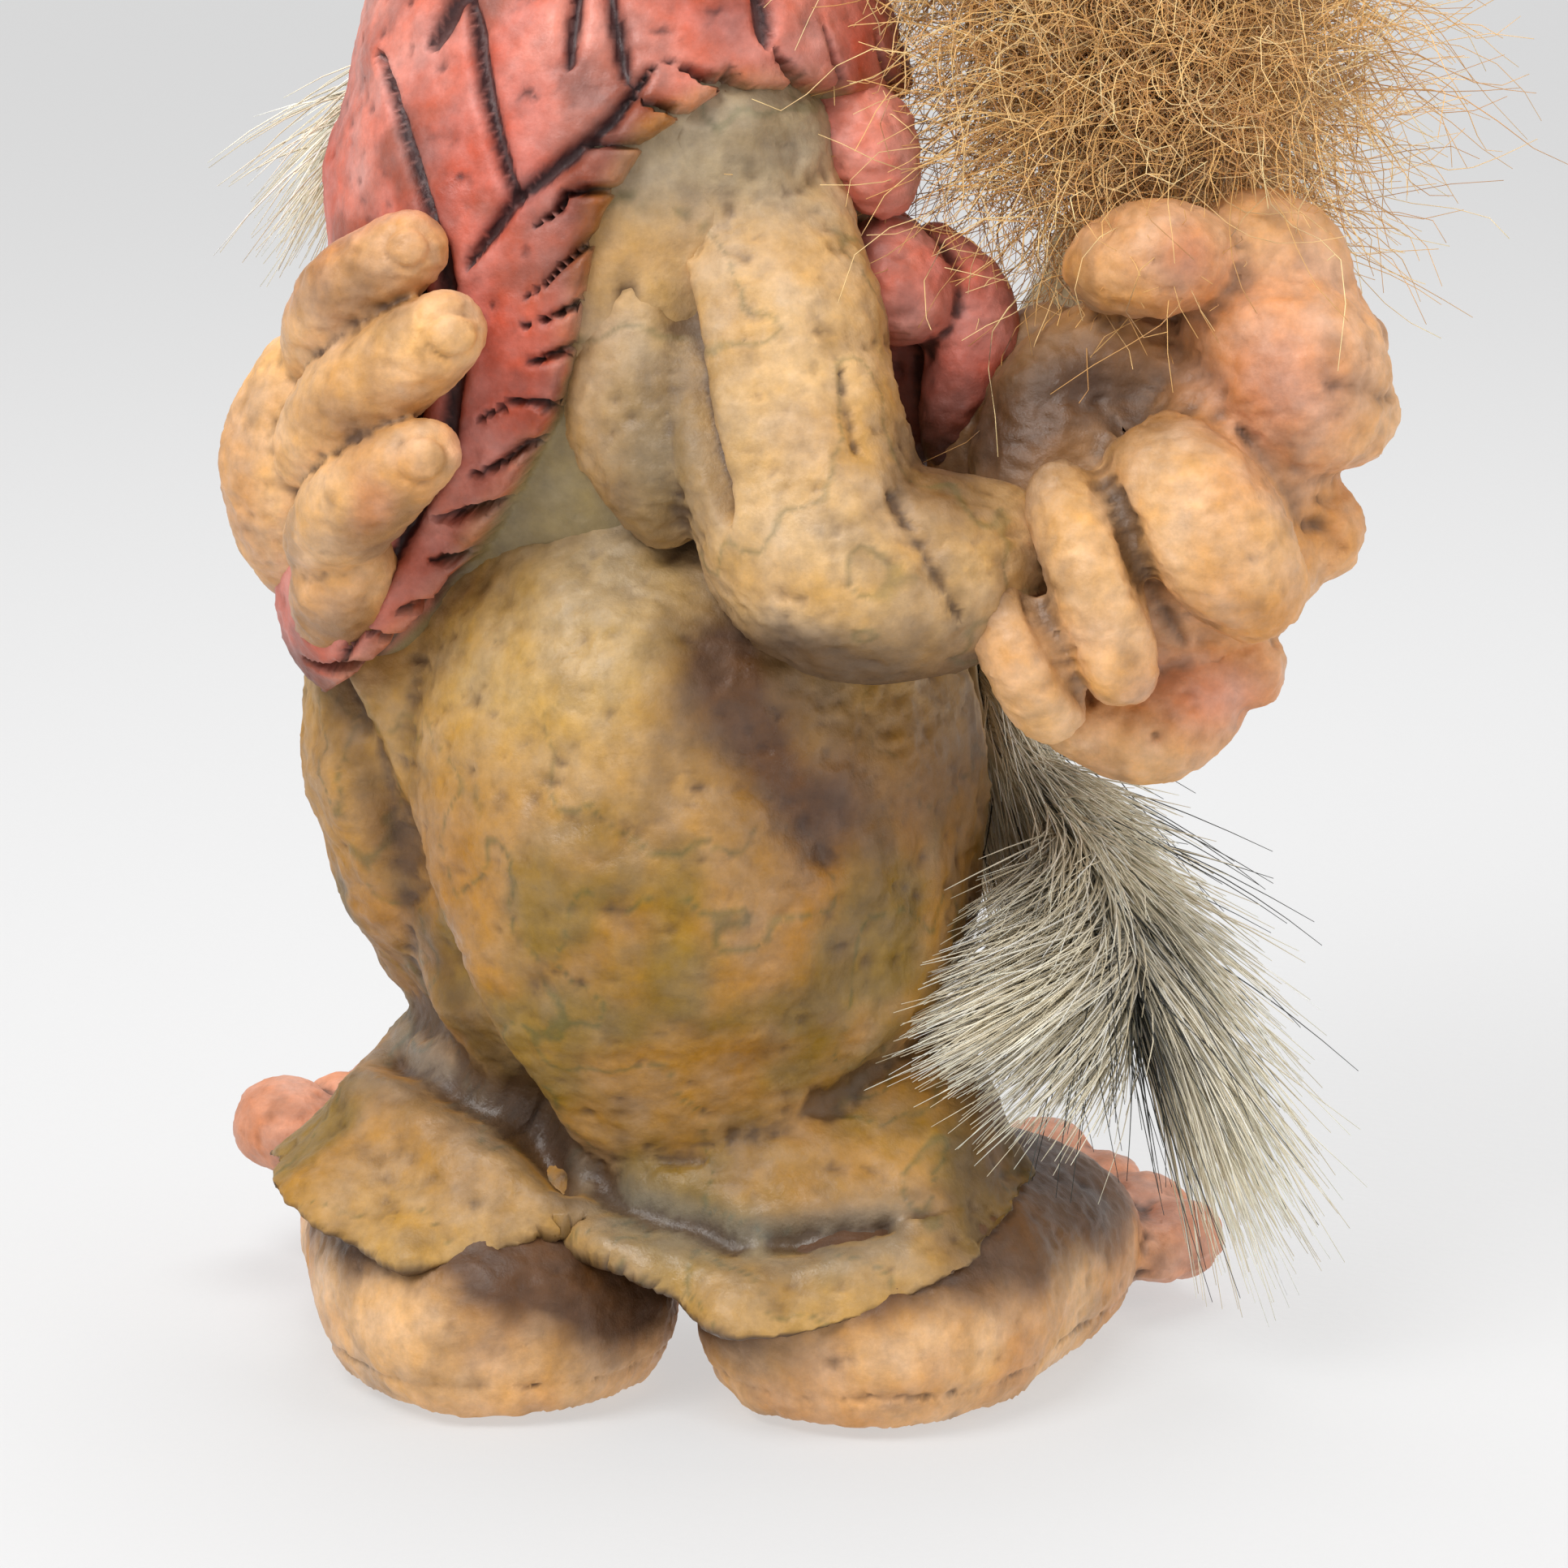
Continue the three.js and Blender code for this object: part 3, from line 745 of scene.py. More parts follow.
def left_arm_forms():
    """The arm that goes round behind the back."""
    return [
        limb(((-14, 16, 106), (-21, 21, 94), (-29, 16, 80), (-34, 4, 70)), (10, 9.5, 9, 8, 6.5),
             blunt=0.3, around=36, rows=36),
    ]


def plain_relief(points, normals):
    return skin_texture(points, 16, 0.3, 0.14)


# ---------------------------------------------------------------- hands

FIST_CREASES = (
    ((24.8, 75), (27, 68), (30.5, 62)), ((18.5, 67), (21, 61), (23.5, 58)),
    ((34.5, 79), (38, 74.5), (40.5, 70.5)), ((41, 82.5), (44, 82), (46.5, 80.5)), ((40.5, 71.5), (43, 69)),
)


def fist_forms():
    """The back of the hand, three bent fingers, the little finger and thumb, and the knuckles."""
    def finger(start, end, radius, bend):
        a, b = np.array(start, float), np.array(end, float)
        middle = (a + b) / 2 + np.array((0, -bend, 0))
        return limb((a, middle, b), (radius * 0.94, radius, radius * 0.94), blunt=0.3)
    return [
        limb(((20, -15, 62), (31, -13, 70), (35, -12, 85)), (8, 11.5, 10), 0.9, blunt=0.4, around=36),
        finger((26, -19, 80), (37.5, -23, 64), 5.7, 3),
        finger((20.2, -21, 77), (26.5, -25, 58.8), 3.8, 2.5),
        finger((14, -22, 69.5), (21.5, -24, 56), 3.4, 2),
        limb(((17, -17, 58), (28, -18, 55.5), (36, -15, 61)), (3.6, 4.6, 3.6), blunt=0.4),
        limb(((28, -10, 88), (37, -12, 90), (42, -12, 82)), (5, 6, 5), blunt=0.4),
        limb(((22.5, -13, 89), (28.5, -17, 91.5), (33.5, -14, 90)), (4.4, 5, 4.2), blunt=0.35),
        ball((43, -12, 84), 3.4), ball((43, -14, 79), 4.2), ball((41, -14, 70), 4), ball((35.8, -17, 60), 3),
        # The palm, and a mass behind it that fills the gap to the forearm and the tassels. fist_paint colours
        # both dark, as painted shade in the hollow of the fist.
        limb(((17.5, -14, 68), (24, -11, 78), (30, -11, 86)), (7.5, 9, 7.5), 0.8, blunt=0.4),
        limb(((13, -7, 70), (18.5, -5, 79), (22, -5, 86)), (5, 6, 4.5), blunt=0.4),
        ball((29.5, -18, 56), 3.2),
        limb(((31, -13, 87), (38.5, -15, 83), (40, -16, 74)), (6, 7.8, 6.6), blunt=0.36),
    ]


def fist_relief(points, normals):
    flat = points[:, (0, 2)]
    near = facing_maker(normals)
    height = skin_texture(points, 18, 0.5, 0.13)
    for line in FIST_CREASES:
        height -= 0.6 * carved(flat, line, 0.8, near)
    height -= 2.2 * spot(points, (24.5, -18, 81), (6, 10, 4.2))
    return height - 0.8 * spot(points, (28.3, -20, 55.5), (0.6, 9, 0.5))


def fist_paint(points, normals, hollow):
    broad = layered(points, 9, 91, 3)
    flat = points[:, (0, 2)]
    near = facing_maker(normals)
    colour = under_colour(points, FLESH, FIST_TAN, 0.4 + 0.8 * broad)
    rose = spot(points, (38, -14, 83), (7, 20, 8)) + spot(points, (33, -16, 58), (7, 20, 3.5))
    rose += spot(points, (30, -18, 92), (3, 8, 3))
    colour = mixed(colour, PINK, 0.85 * rose)
    # Painted shade: dark in the hollow of the fist, on the mass behind it and at the root of a finger.
    colour = mixed(colour, UMBER, 0.95 * spot(points, (23, -16, 81.5), (8, 14, 5.2)))
    colour = mixed(colour, UMBER, 0.95 * spot(points, (16.5, -12, 77), (6, 14, 9)))
    colour = mixed(colour, UMBER, 0.7 * spot(points, (15, -26, 68), (3, 5, 3)))
    # Painted shade in the creases of the fist.
    for line in FIST_CREASES:
        colour = mixed(colour, UMBER, 0.3 * carved(flat, line, 1.0, near))
    return hollow_shade_and_grime(points, colour, hollow, UMBER, 0.8, 0.55), 0.35 + 0.4 * layered(points, 6, 95, 2)


# Each nail of the left hand: its middle, seen from the maker's side, and its half sizes.
LEFT_NAILS = (((-27.3, 77.3), (1.9, 1.7)), ((-24.8, 86.6), (1.8, 1.6)), ((-28.3, 92.8), (1.6, 1.4)))


def left_hand_forms():
    """The palm, three fingers and the heel of the hand."""
    def finger(root, tip, radius):
        a, b = np.array(root, float), np.array(tip, float)
        radii = (radius, radius * 1.05, radius * 0.9, radius * 0.95)
        return limb((a, (a + b) / 2 + (-0.6, -1.2, 0.8), b), radii, blunt=0.3)
    return [
        limb(((-37, 0, 62), (-37, -5, 74), (-34, -6, 86)), (6, 7.5, 6), blunt=0.4),
        finger((-37, -8, 82), (-26.5, -20, 94), 4.1),
        finger((-38, -10, 74), (-23.5, -23, 88), 4.4),
        finger((-37, -11, 67), (-25.5, -24, 78.5), 4.0),
        limb(((-36, -6, 60), (-34, -12, 66), (-32, -16, 70)), (4, 4.4, 3.4), blunt=0.4),
    ]


def left_hand_relief(points, normals):
    height = skin_texture(points, 20, 0.25, 0.1)
    flat = points[:, (0, 2)]
    near = facing_maker(normals)
    for (u, v), (wide, tall) in LEFT_NAILS:
        r = np.hypot((flat[:, 0] - u) / wide, (flat[:, 1] - v) / tall)
        height += near * (0.15 * smooth(1.0, 0.8, r) - 0.25 * np.exp(-((r - 1.1) / 0.2) ** 2))
    return height


def flesh_paint(points, normals, hollow):
    broad = layered(points, 9, 101, 3)
    colour = under_colour(points, FLESH, HAND_TAN, 0.4 + 0.8 * broad)
    colour = mixed(colour, PINK, 0.55 * smooth(0.1, 0.8, layered(points, 8, 105, 2)))
    return hollow_shade_and_grime(points, colour, hollow, UMBER, 0.9, 0.28), 0.35 + 0.4 * layered(points, 6, 109, 2)


def left_hand_paint(points, normals, hollow):
    """Flesh, with brown painted shade between the fingers and under the heel of the hand."""
    colour, gloss = flesh_paint(points, normals, hollow)
    # Painted shade between the fingers and under the heel of the hand.
    for place in ((-32, -13, 88.5), (-32, -14, 80), (-31, -15, 71), (-34, -8, 62)):
        colour = mixed(colour, BROWN, 0.85 * spot(points, place, (5, 9, 2.4)))
    return colour, gloss


# ---------------------------------------------------------------- feet

SOLE = 0.95  # height of the soles, on top of the felt
SEAM_HEIGHT = 3.6
SEAM_WIDTH = 0.35


def foot_forms(side):
    """A broad low limb along the foot and four toes across its end."""
    if side == "right":
        path = ((3.5, -26.0, 5.8), (8, -10, 7.6), (17, 6, 6.8), (25, 18, 5.6))
        ahead, out = np.array((0.55, 0.83, 0)), np.array((0.83, -0.55, 0))
    else:
        path = ((-22.5, -23, 5.8), (-23, -6, 7.6), (-28, 14, 7.4), (-33, 30, 8))
        ahead, out = np.array((-0.42, 0.91, 0)), np.array((-0.91, -0.42, 0))
    forms = [limb(path, (13.5, 15.6, 14, 12.5, 11), 0.78, (0, 0, 1), 0.27, 48, 36)]
    tip = np.array(path[-1])
    outer_toe, lift = ((10.2, 0.8, 4.4), 6.0) if side == "left" else ((9.2, 0.8, 3.5), 0.5)
    for place, reach, radius in ((-8.0, 5.5, 5.2), (-1.6, 5.5, 4.2), (3.8, 3.8, 3.8), outer_toe):
        toe = tip + ahead * reach + out * place
        toe[2] = radius + SOLE - 0.4 + lift
        path = (toe - ahead * 7, toe + (0, 0, 0.8), toe + ahead * radius)
        forms.append(limb(path, (radius, radius * 1.05, radius), 0.9, (0, 0, 1), 0.35))
    return forms


def foot_relief(points, normals):
    """Lumps and toe creases, a low mould seam, and a flat sole: nothing hangs under SOLE."""
    height = skin_texture(points, 24, 0.3, 0.12)
    seam = np.exp(-((points[:, 2] - SEAM_HEIGHT - 0.5 * lattice_noise(points / 7, 29)) / SEAM_WIDTH) ** 2)
    height -= 0.28 * seam
    under = np.clip(SOLE + 0.1 - points[:, 2], 0, None)
    level = height - under / np.clip(-normals[:, 2], 0.25, 1)
    return np.where(normals[:, 2] < -0.2, level, height * (points[:, 2] > SOLE))


def foot_paint(points, normals, hollow):
    broad = layered(points, 10, 111, 3)
    colour = under_colour(points, FLESH, FOOT_TAN, 0.4 + 0.9 * broad)
    toes = smooth(20, 30, points[:, 1] * 0.85 + np.abs(points[:, 0] + 8) * 0.5)
    colour = mixed(colour, PINK, 0.8 * toes)
    # Brown on the tops of the heels, under the trouser hems: painted shade.
    shade_under = smooth(7.5, 12, points[:, 2] + 2.0 * broad) * smooth(22, 8, points[:, 1])
    shade_under += spot(points, (-10, -22, 9), (9, 10, 4)) * 1.2
    shade_under += spot(points, (-7, -16, 12), (10, 14, 5)) * 0.9
    colour = mixed(colour, BROWN, 0.95 * shade_under)
    return hollow_shade_and_grime(points, colour, hollow, UMBER, 0.85, 0.25), 0.35 + 0.4 * layered(points, 6, 119, 2)


# ---------------------------------------------------------------- head

EYE_PLACE = (13.2, 6.4, 4.4)  # forward, to the side and up from the middle of the head
EYE_RADIUS = 3.3


def head_forms():
    """Skull, brow, nose and lip, and on each side a nostril, a cheek and an ear."""
    forms = [
        limb((on_head(0, 0, 17), on_head(0, 0, 0), on_head(5, 0, -16)), (15, 17, 15, 10.5), blunt=0.38,
             around=48, rows=36),
        limb((on_head(10, -9, 9), on_head(16, 0, 8.5), on_head(10, 9, 9)), (3.4, 4.2, 3.4), 0.8, blunt=0.4),
        limb((on_head(12, 0, 7), on_head(20, 0, 1), on_head(24, 0, -5)), (3.6, 5, 7.4), 0.95, blunt=0.42),
        limb((on_head(9, -6, -12), on_head(13, 0, -13.5), on_head(9, 6, -12)), (3, 4, 3), blunt=0.4),
    ]
    for sign in (-1, 1):
        forms.append(ball(on_head(21, 4.2 * sign, -5), 3.1))
        cheek = on_head(10, 8 * sign, 0), on_head(13.5, 8.5 * sign, -4), on_head(10, 10 * sign, -9)
        forms.append(limb(cheek, (3.4, 5, 3.6)))
        ear = on_head(2, 15 * sign, -6), on_head(0, 20 * sign, 1), on_head(-3, 26 * sign, 9)
        forms.append(limb(ear, (4.5, 6.5, 2.4), 0.42, FACE, 0.45))
    return forms


def head_frame(points):
    """Points in the head's own directions: forward, right and up, in mm from its centre."""
    offset = points - HEAD
    return offset @ FACE, offset @ SIDE, offset @ CROWN


def head_relief(points, normals):
    """Clay texture, less eye sockets, cheek folds, ear bowls, brow lines and the mouth."""
    forward, right, up = head_frame(points)
    front = smooth(4, 10, forward)
    height = skin_texture(points, 33, 0.3, 0.14)
    for sign in (-1, 1):
        socket = np.exp(-((right - 6.4 * sign) / 3.4) ** 2 - ((up - 4.4) / 2.6) ** 2) * front
        height -= 2.2 * socket
        flap = np.stack((right * sign, up), axis=-1)
        height -= 0.7 * carved(flap, ((5, -2), (8, -6), (8.5, -11)), 0.6, front)
        height -= 0.5 * carved(flap, ((9, 8), (13, 6), (15, 1)), 0.5, front)
        bowl = np.exp(-((right * sign - 20) / 3.2) ** 2 - ((up - 1.5) / 3.6) ** 2)
        height -= 1.5 * bowl * smooth(0.1, 0.5, normals @ FACE)
    brow = np.stack((right, up), axis=-1)
    for level in (13.0, 15.2, 17.2):
        line = ((-9, level - 1), (-3, level + 0.4), (3, level), (9, level - 1.2))
        height -= 0.55 * carved(brow, line, 0.5, front)
    height -= 1.3 * carved(brow, ((-6.5, -10), (-2, -11), (3, -10.8), (7, -9.4)), 0.6, front)
    return height


def head_paint(points, normals, hollow):
    forward, right, up = head_frame(points)
    colour, gloss = flesh_paint(points, normals, hollow)
    rose = np.exp(-((forward - 24) / 6) ** 2 - (right / 7) ** 2 - ((up + 4) / 6) ** 2)
    for sign in (-1, 1):
        cheek = np.exp(-((right - 9 * sign) / 4) ** 2 - ((up + 4) / 4) ** 2)
        rose += 0.8 * cheek * smooth(4, 10, forward)
        rose += 0.7 * np.exp(-((right - 22 * sign) / 5) ** 2)
    return mixed(colour, PINK, 0.8 * rose), gloss


def eye_material():
    """Polished glass in the colours kept on the bead's points."""
    material, nodes, links, shader = new_material("eye_glass")
    links.new(attribute_of(nodes, "paint").outputs["Color"], shader.inputs["Base Color"])
    shader.inputs["Roughness"].default_value = 0.08
    shader.inputs["Coat Weight"].default_value = 1.0
    shader.inputs["Coat Roughness"].default_value = 0.03
    return material


# ---------------------------------------------------------------- hair and fur

HAIR_ROOM = 9.5  # how far loose hair may reach past the figure's box, mm
FLOOR_GAP = 0.3  # the lowest that a hair of the beard hangs over the floor, mm
# The room that hair may fill: its middle and its half sizes.
ROOM = (CAD_BOX.mean(axis=0), (CAD_BOX[1] - CAD_BOX[0]) / 2 + HAIR_ROOM * MM)


def strand_mesh(name, lines, base, tip, colours, material, nodes):
    """Strands as tapered three-sided needles. lines is strands x steps x 3 on the bench; at a
    share s of its length a strand's radius is base + (tip - base) s^1.5. A strand that leaves
    ROOM is left out."""
    within = np.abs(to_figure(lines.reshape(-1, 3)) - ROOM[0]) < ROOM[1]
    kept = within.reshape(*lines.shape).all(axis=(1, 2))
    lines, colours = lines[kept], colours[kept]
    base = np.broadcast_to(np.asarray(base, float), kept.shape)[kept]
    count, steps = lines.shape[:2]
    ahead = np.gradient(lines, axis=1)
    ahead /= np.linalg.norm(ahead, axis=2)[..., None] + 1e-9
    across = np.cross(ahead, np.array((0.31, 0.17, 0.94)))
    across /= np.linalg.norm(across, axis=2)[..., None] + 1e-9
    other = np.cross(ahead, across)
    share = np.linspace(0, 1, steps)
    radius = base[:, None] + (tip - base[:, None]) * share[None, :] ** 1.5
    angle = np.arange(3) * 2 * np.pi / 3
    ring = (np.cos(angle)[None, None, :, None] * across[:, :, None]
            + np.sin(angle)[None, None, :, None] * other[:, :, None])
    points = (lines[:, :, None] + radius[:, :, None, None] * ring).reshape(-1, 3)
    start = (np.arange(count) * steps * 3)[:, None, None]
    row = (np.arange(steps - 1) * 3)[None, :, None]
    side = np.arange(3)[None, None, :]
    a = start + row + side
    b = start + row + (side + 1) % 3
    quads = np.stack((a, b, b + 3, a + 3), axis=-1).reshape(-1, 4)
    first = start[:, 0, 0]
    last = first + (steps - 1) * 3
    root_cap = np.stack((first, first + 2, first + 1), -1)
    tip_cap = np.stack((last, last + 1, last + 2), -1)
    caps = np.concatenate((root_cap, tip_cap))
    mesh = bpy.data.meshes.new(name)
    mesh.vertices.add(len(points))
    set_bench_points(mesh, points)
    corners = np.concatenate((quads.ravel(), caps.ravel()))
    sizes = np.concatenate((np.full(len(quads), 4), np.full(len(caps), 3)))
    mesh.loops.add(len(corners))
    mesh.loops.foreach_set("vertex_index", corners.astype(np.int32))
    mesh.polygons.add(len(sizes))
    starts = np.concatenate(((0,), np.cumsum(sizes)[:-1]))
    mesh.polygons.foreach_set("loop_start", starts.astype(np.int32))
    mesh.update(calc_edges=True)
    # Each strand runs from dark at its root to light at its tip: painted shade deep in the pile and painted
    # light at the tips.
    root_shade = np.tile(np.repeat(0.7 + 0.4 * share, 3), count)[:, None]
    put_colours(mesh, np.repeat(colours, steps * 3, axis=0) * root_shade, np.full(len(points), 0.3))
    finish_piece(linked(name, mesh), material, nodes)


def hair_material(name, rough, sheen):
    """Fibre: the strand's colour, with painted shade towards the root and painted light at the tip, a soft
    highlight and a little sheen.
    """
    material, nodes, links, shader = new_material(name)
    coords = nodes.new("ShaderNodeTexCoord")
    vary = nodes.new("ShaderNodeHueSaturation")
    mottle = nodes.new("ShaderNodeTexNoise")
    mottle.inputs["Scale"].default_value = 160
    mottle.inputs["Detail"].default_value = 3
    links.new(coords.outputs["Object"], mottle.inputs["Vector"])
    level = remapped(nodes, links, mottle.outputs["Fac"], 0.3, 0.7, 0.8, 1.2)
    links.new(level, vary.inputs["Value"])
    links.new(attribute_of(nodes, "paint").outputs["Color"], vary.inputs["Color"])
    links.new(vary.outputs["Color"], shader.inputs["Base Color"])
    shader.inputs["Roughness"].default_value = rough
    shader.inputs["Sheen Weight"].default_value = sheen
    shader.inputs["Sheen Roughness"].default_value = 0.4
    return material


def frizz(random, start, drift, length, steps, curl, tight, spread):
    """Curly strands. From its start each strand runs `length` along its drift, plus a helix of
    radius curl that turns `tight` times, plus a slow sideways wander of size spread."""
    count = len(start)
    s = np.linspace(0, 1, steps)[None, :, None]
    drift = drift / np.linalg.norm(drift, axis=1)[:, None]
    side = np.cross(drift, random.normal(size=(count, 3)))
    side /= np.linalg.norm(side, axis=1)[:, None]
    other = np.cross(drift, side)
    phase = random.uniform(0, 2 * np.pi, (count, 1, 1))
    turns = 2 * np.pi * random.uniform(0.4, 1, (count, 1, 1)) * tight * s
    radius = random.uniform(0.3, 1, (count, 1, 1)) * curl * (0.25 + s)
    lines = start[:, None] + drift[:, None] * s * np.reshape(length, (-1, 1, 1))
    lines = lines + radius * (np.cos(turns + phase) - np.cos(phase)) * side[:, None]
    lines = lines + radius * (np.sin(turns + phase) - np.sin(phase)) * other[:, None]
    bend = random.normal(size=(count, 1, 3)) * spread
    return lines + bend * s ** 2


WOOL_DARK = shade(188, 130, 68)
WOOL = shade(240, 190, 114)
WOOL_LIGHT = shade(255, 230, 172)
FUR_LIGHT = shade(255, 253, 246)
FUR = shade(248, 238, 212)
FUR_DARK = shade(200, 186, 154)
GUARD = shade(44, 46, 42)


def picked(random, count, dark, middle, light):
    """A colour for each strand, from dark through middle to light by a number drawn for it."""
    t = random.beta(2, 2, count)[:, None]
    return np.where(t < 0.5, dark + (middle - dark) * 2 * t, middle + (light - middle) * (2 * t - 1))


# Each weft of wool: the lock's middle line on the bench, its half widths along it, its size to
# and from the maker as a share of those, how many pieces it is made in, and the strands in each.
WOOL_WEFTS = {
    "hair_crown": (
        (on_head(-12, 0, 14), on_head(-2, 0, 20), on_head(9, 0, 17)), (8, 11, 6), 0.8, 1, 1500),
    "hair_nape": (
        (on_head(-14, 0, 12), on_head(-18, 0, 0), on_head(-17, 2, -12)), (8, 10, 7), 0.8, 1, 1500),
    "hair_left": (
        (on_head(-2, -14, 14), on_head(-5, -20, 0), on_head(-7, -22, -16)), (6, 8, 6), 0.9, 1, 1500),
    "hair_right": (
        (on_head(-2, 15, 14), (28, 0, 122), (28, -3, 110), (28, -5, 99)), (6, 13, 15.5, 12), 0.75, 3, 2500),
}


def wool_weft(name, seed, material):
    """Frizzy strands that start all through a lock and wander off, mostly outwards and down."""
    path, wide, deep, batches, count = WOOL_WEFTS[name]
    for batch in range(batches):
        random = np.random.default_rng(seed + 20 * batch)
        t = random.beta(1.6, 1.25, count)
        way = random.normal(size=(count, 3))
        way /= np.linalg.norm(way, axis=1)[:, None]
        reach = random.uniform(0, 1, count) ** 0.5 * np.interp(t, np.linspace(0, 1, len(wide)), wide)
        start = path_points(path, t) + way * reach[:, None] * (1, deep, 0.8)
        drift = way * 0.8 + np.array((0.1, -0.1, -0.35)) + random.normal(size=(count, 3)) * 0.55
        length = 15 * random.uniform(0.35, 1.0, count) + 9 * (random.uniform(0, 1, count) > 0.93)
        lines = frizz(random, start, drift, length, 11, 2.6, 1.8, 4)
        colours = picked(random, count, WOOL_DARK, WOOL, WOOL_LIGHT)
        strand_mesh("%s_wool_%d" % (name, batch), lines, random.uniform(0.045, 0.085, count), 0.03,
                    colours, material, name)


def brow_tuft(name, sign, seed, material):
    """Short curly strands that start along the brow and stand forwards and outwards."""
    random = np.random.default_rng(seed)
    count = 420
    t = random.uniform(0, 1, count)
    brow = on_head(18, 1.5 * sign, 11), on_head(17, 6 * sign, 12.6), on_head(12.5, 12 * sign, 10.5)
    start = path_points(brow, t) + random.normal(size=(count, 3)) * 0.5
    drift = FACE * 0.9 + CROWN * 0.1 + SIDE * sign * (0.3 + t[:, None])
    drift = drift + random.normal(size=(count, 3)) * 0.25
    lines = frizz(random, start, drift, random.uniform(3, 7, count), 7, 0.7, 1.0, 1.0)
    colours = picked(random, count, WOOL_DARK, WOOL, WOOL_LIGHT)
    strand_mesh(name + "_wool", lines, 0.1, 0.04, colours, material, name)


# The beard's hide hangs from the chin down the belly, then swings out past the right hip.
HIDE_PATH = (
    on_head(9, 0, -13), (33, 29, 98), (26, 27, 78), (14, 20, 58), (15, 13, 47), (20, 7, 41.5), (25, 1, 37),
    (27.5, -6, 32),
)
HIDE_WIDE = (7, 8, 9, 9, 6, 4.5, 4, 3.5)
HIDE_FACING = (0.62, 0.55, 0.4)  # the way the strip's flat side looks


def hide_strip():
    """The pale hide: a limb along HIDE_PATH, HIDE_WIDE to each side and 0.09 of that thick."""
    return limb(HIDE_PATH, HIDE_WIDE, 0.09, HIDE_FACING, 0.25, 40, 60)


def hide_spots(random, count, low, high):
    """Random places on the hide between two shares of its path. For each: the place, the path's
    way, the way out to its edge, the way its flat side looks, and its share of the path."""
    t = random.uniform(low, high, count)
    centre = path_points(HIDE_PATH, t)
    ahead, up, across = path_axes(HIDE_PATH, t, 0.02, HIDE_FACING)
    wide = np.interp(t, np.linspace(0, 1, len(HIDE_WIDE)), HIDE_WIDE)
    place = random.uniform(-1, 1, count)
    return centre + across * (place * wide)[:, None] + up * 0.4, ahead, across * place[:, None], up, t


def bowed(start, drift, droop, length, steps):
    """Straight-haired strands: start + L (drift s + droop s^2)."""
    s = np.linspace(0, 1, steps)[None, :, None]
    drift = drift / np.linalg.norm(drift, axis=1)[:, None]
    return start[:, None] + np.reshape(length, (-1, 1, 1)) * (drift[:, None] * s + droop[:, None] * s ** 2)


def fur_piece(name, seed, low, high, count, lift, length, material, sweep=(0, 0, 0)):
    """Fur on the hide between two shares of its path. It lies along the path, raised by lift.
    With a sweep, six hairs in ten near the tip bend that way and the others hang."""
    random = np.random.default_rng(seed)
    start, ahead, aside, up, t = hide_spots(random, count, low, high)
    curled = random.uniform(0, 1, (count, 1)) < 0.6
    tip = smooth(0.62, 0.95, t)[:, None] * curled
    hang = smooth(0.72, 0.95, t)[:, None] * ~curled * (np.array(sweep) != 0).any()
    drift = ahead + up * lift * random.uniform(0.4, 1.5, (count, 1)) + aside * 0.35
    drift = drift + random.normal(size=(count, 3)) * 0.14
    drift = drift + tip * np.array(sweep) * random.uniform(0.3, 1.6, (count, 1)) + hang * (0.35, 0.1, -0.9)
    droop = np.array((0, 0, -0.25)) + random.normal(size=(count, 3)) * 0.08
    droop = droop + tip * np.array(sweep) * 0.25
    reach = length * random.uniform(0.55, 1.15, count) * (1 + 0.5 * hang[:, 0])
    lines = bowed(start, drift, droop, reach, 5)
    lines[:, :, 2] = np.maximum(lines[:, :, 2], FLOOR_GAP)
    colours = picked(random, count, FUR_DARK, FUR, FUR_LIGHT)
    strand_mesh(name + "_fur", lines, random.uniform(0.08, 0.15, count), 0.03, colours, material, name)


def guard_hairs(seed, material):
    """Long dark hairs standing out of the beard, most of them near its tip."""
    random = np.random.default_rng(seed)
    count = 260
    start, ahead, _, up, t = hide_spots(random, count, 0.45, 1.0)
    drift = ahead + up * random.uniform(0.1, 0.9, (count, 1)) + random.normal(size=(count, 3)) * 0.35
    drift += np.array((-0.45, -0.55, -0.5)) * smooth(0.6, 0.9, t)[:, None] * random.uniform(0, 1.6, (count, 1))
    droop = np.array((0, 0, -0.3)) + random.normal(size=(count, 3)) * 0.12
    lines = bowed(start, drift, droop, random.uniform(9, 23, count), 9)
    lines[:, :, 2] = np.maximum(lines[:, :, 2], FLOOR_GAP)
    colours = picked(random, count, GUARD * 0.6, GUARD, GUARD * 2)
    strand_mesh("beard_guard_hairs", lines, 0.085, 0.03, colours, material, None)


# ---------------------------------------------------------------- smaller materials

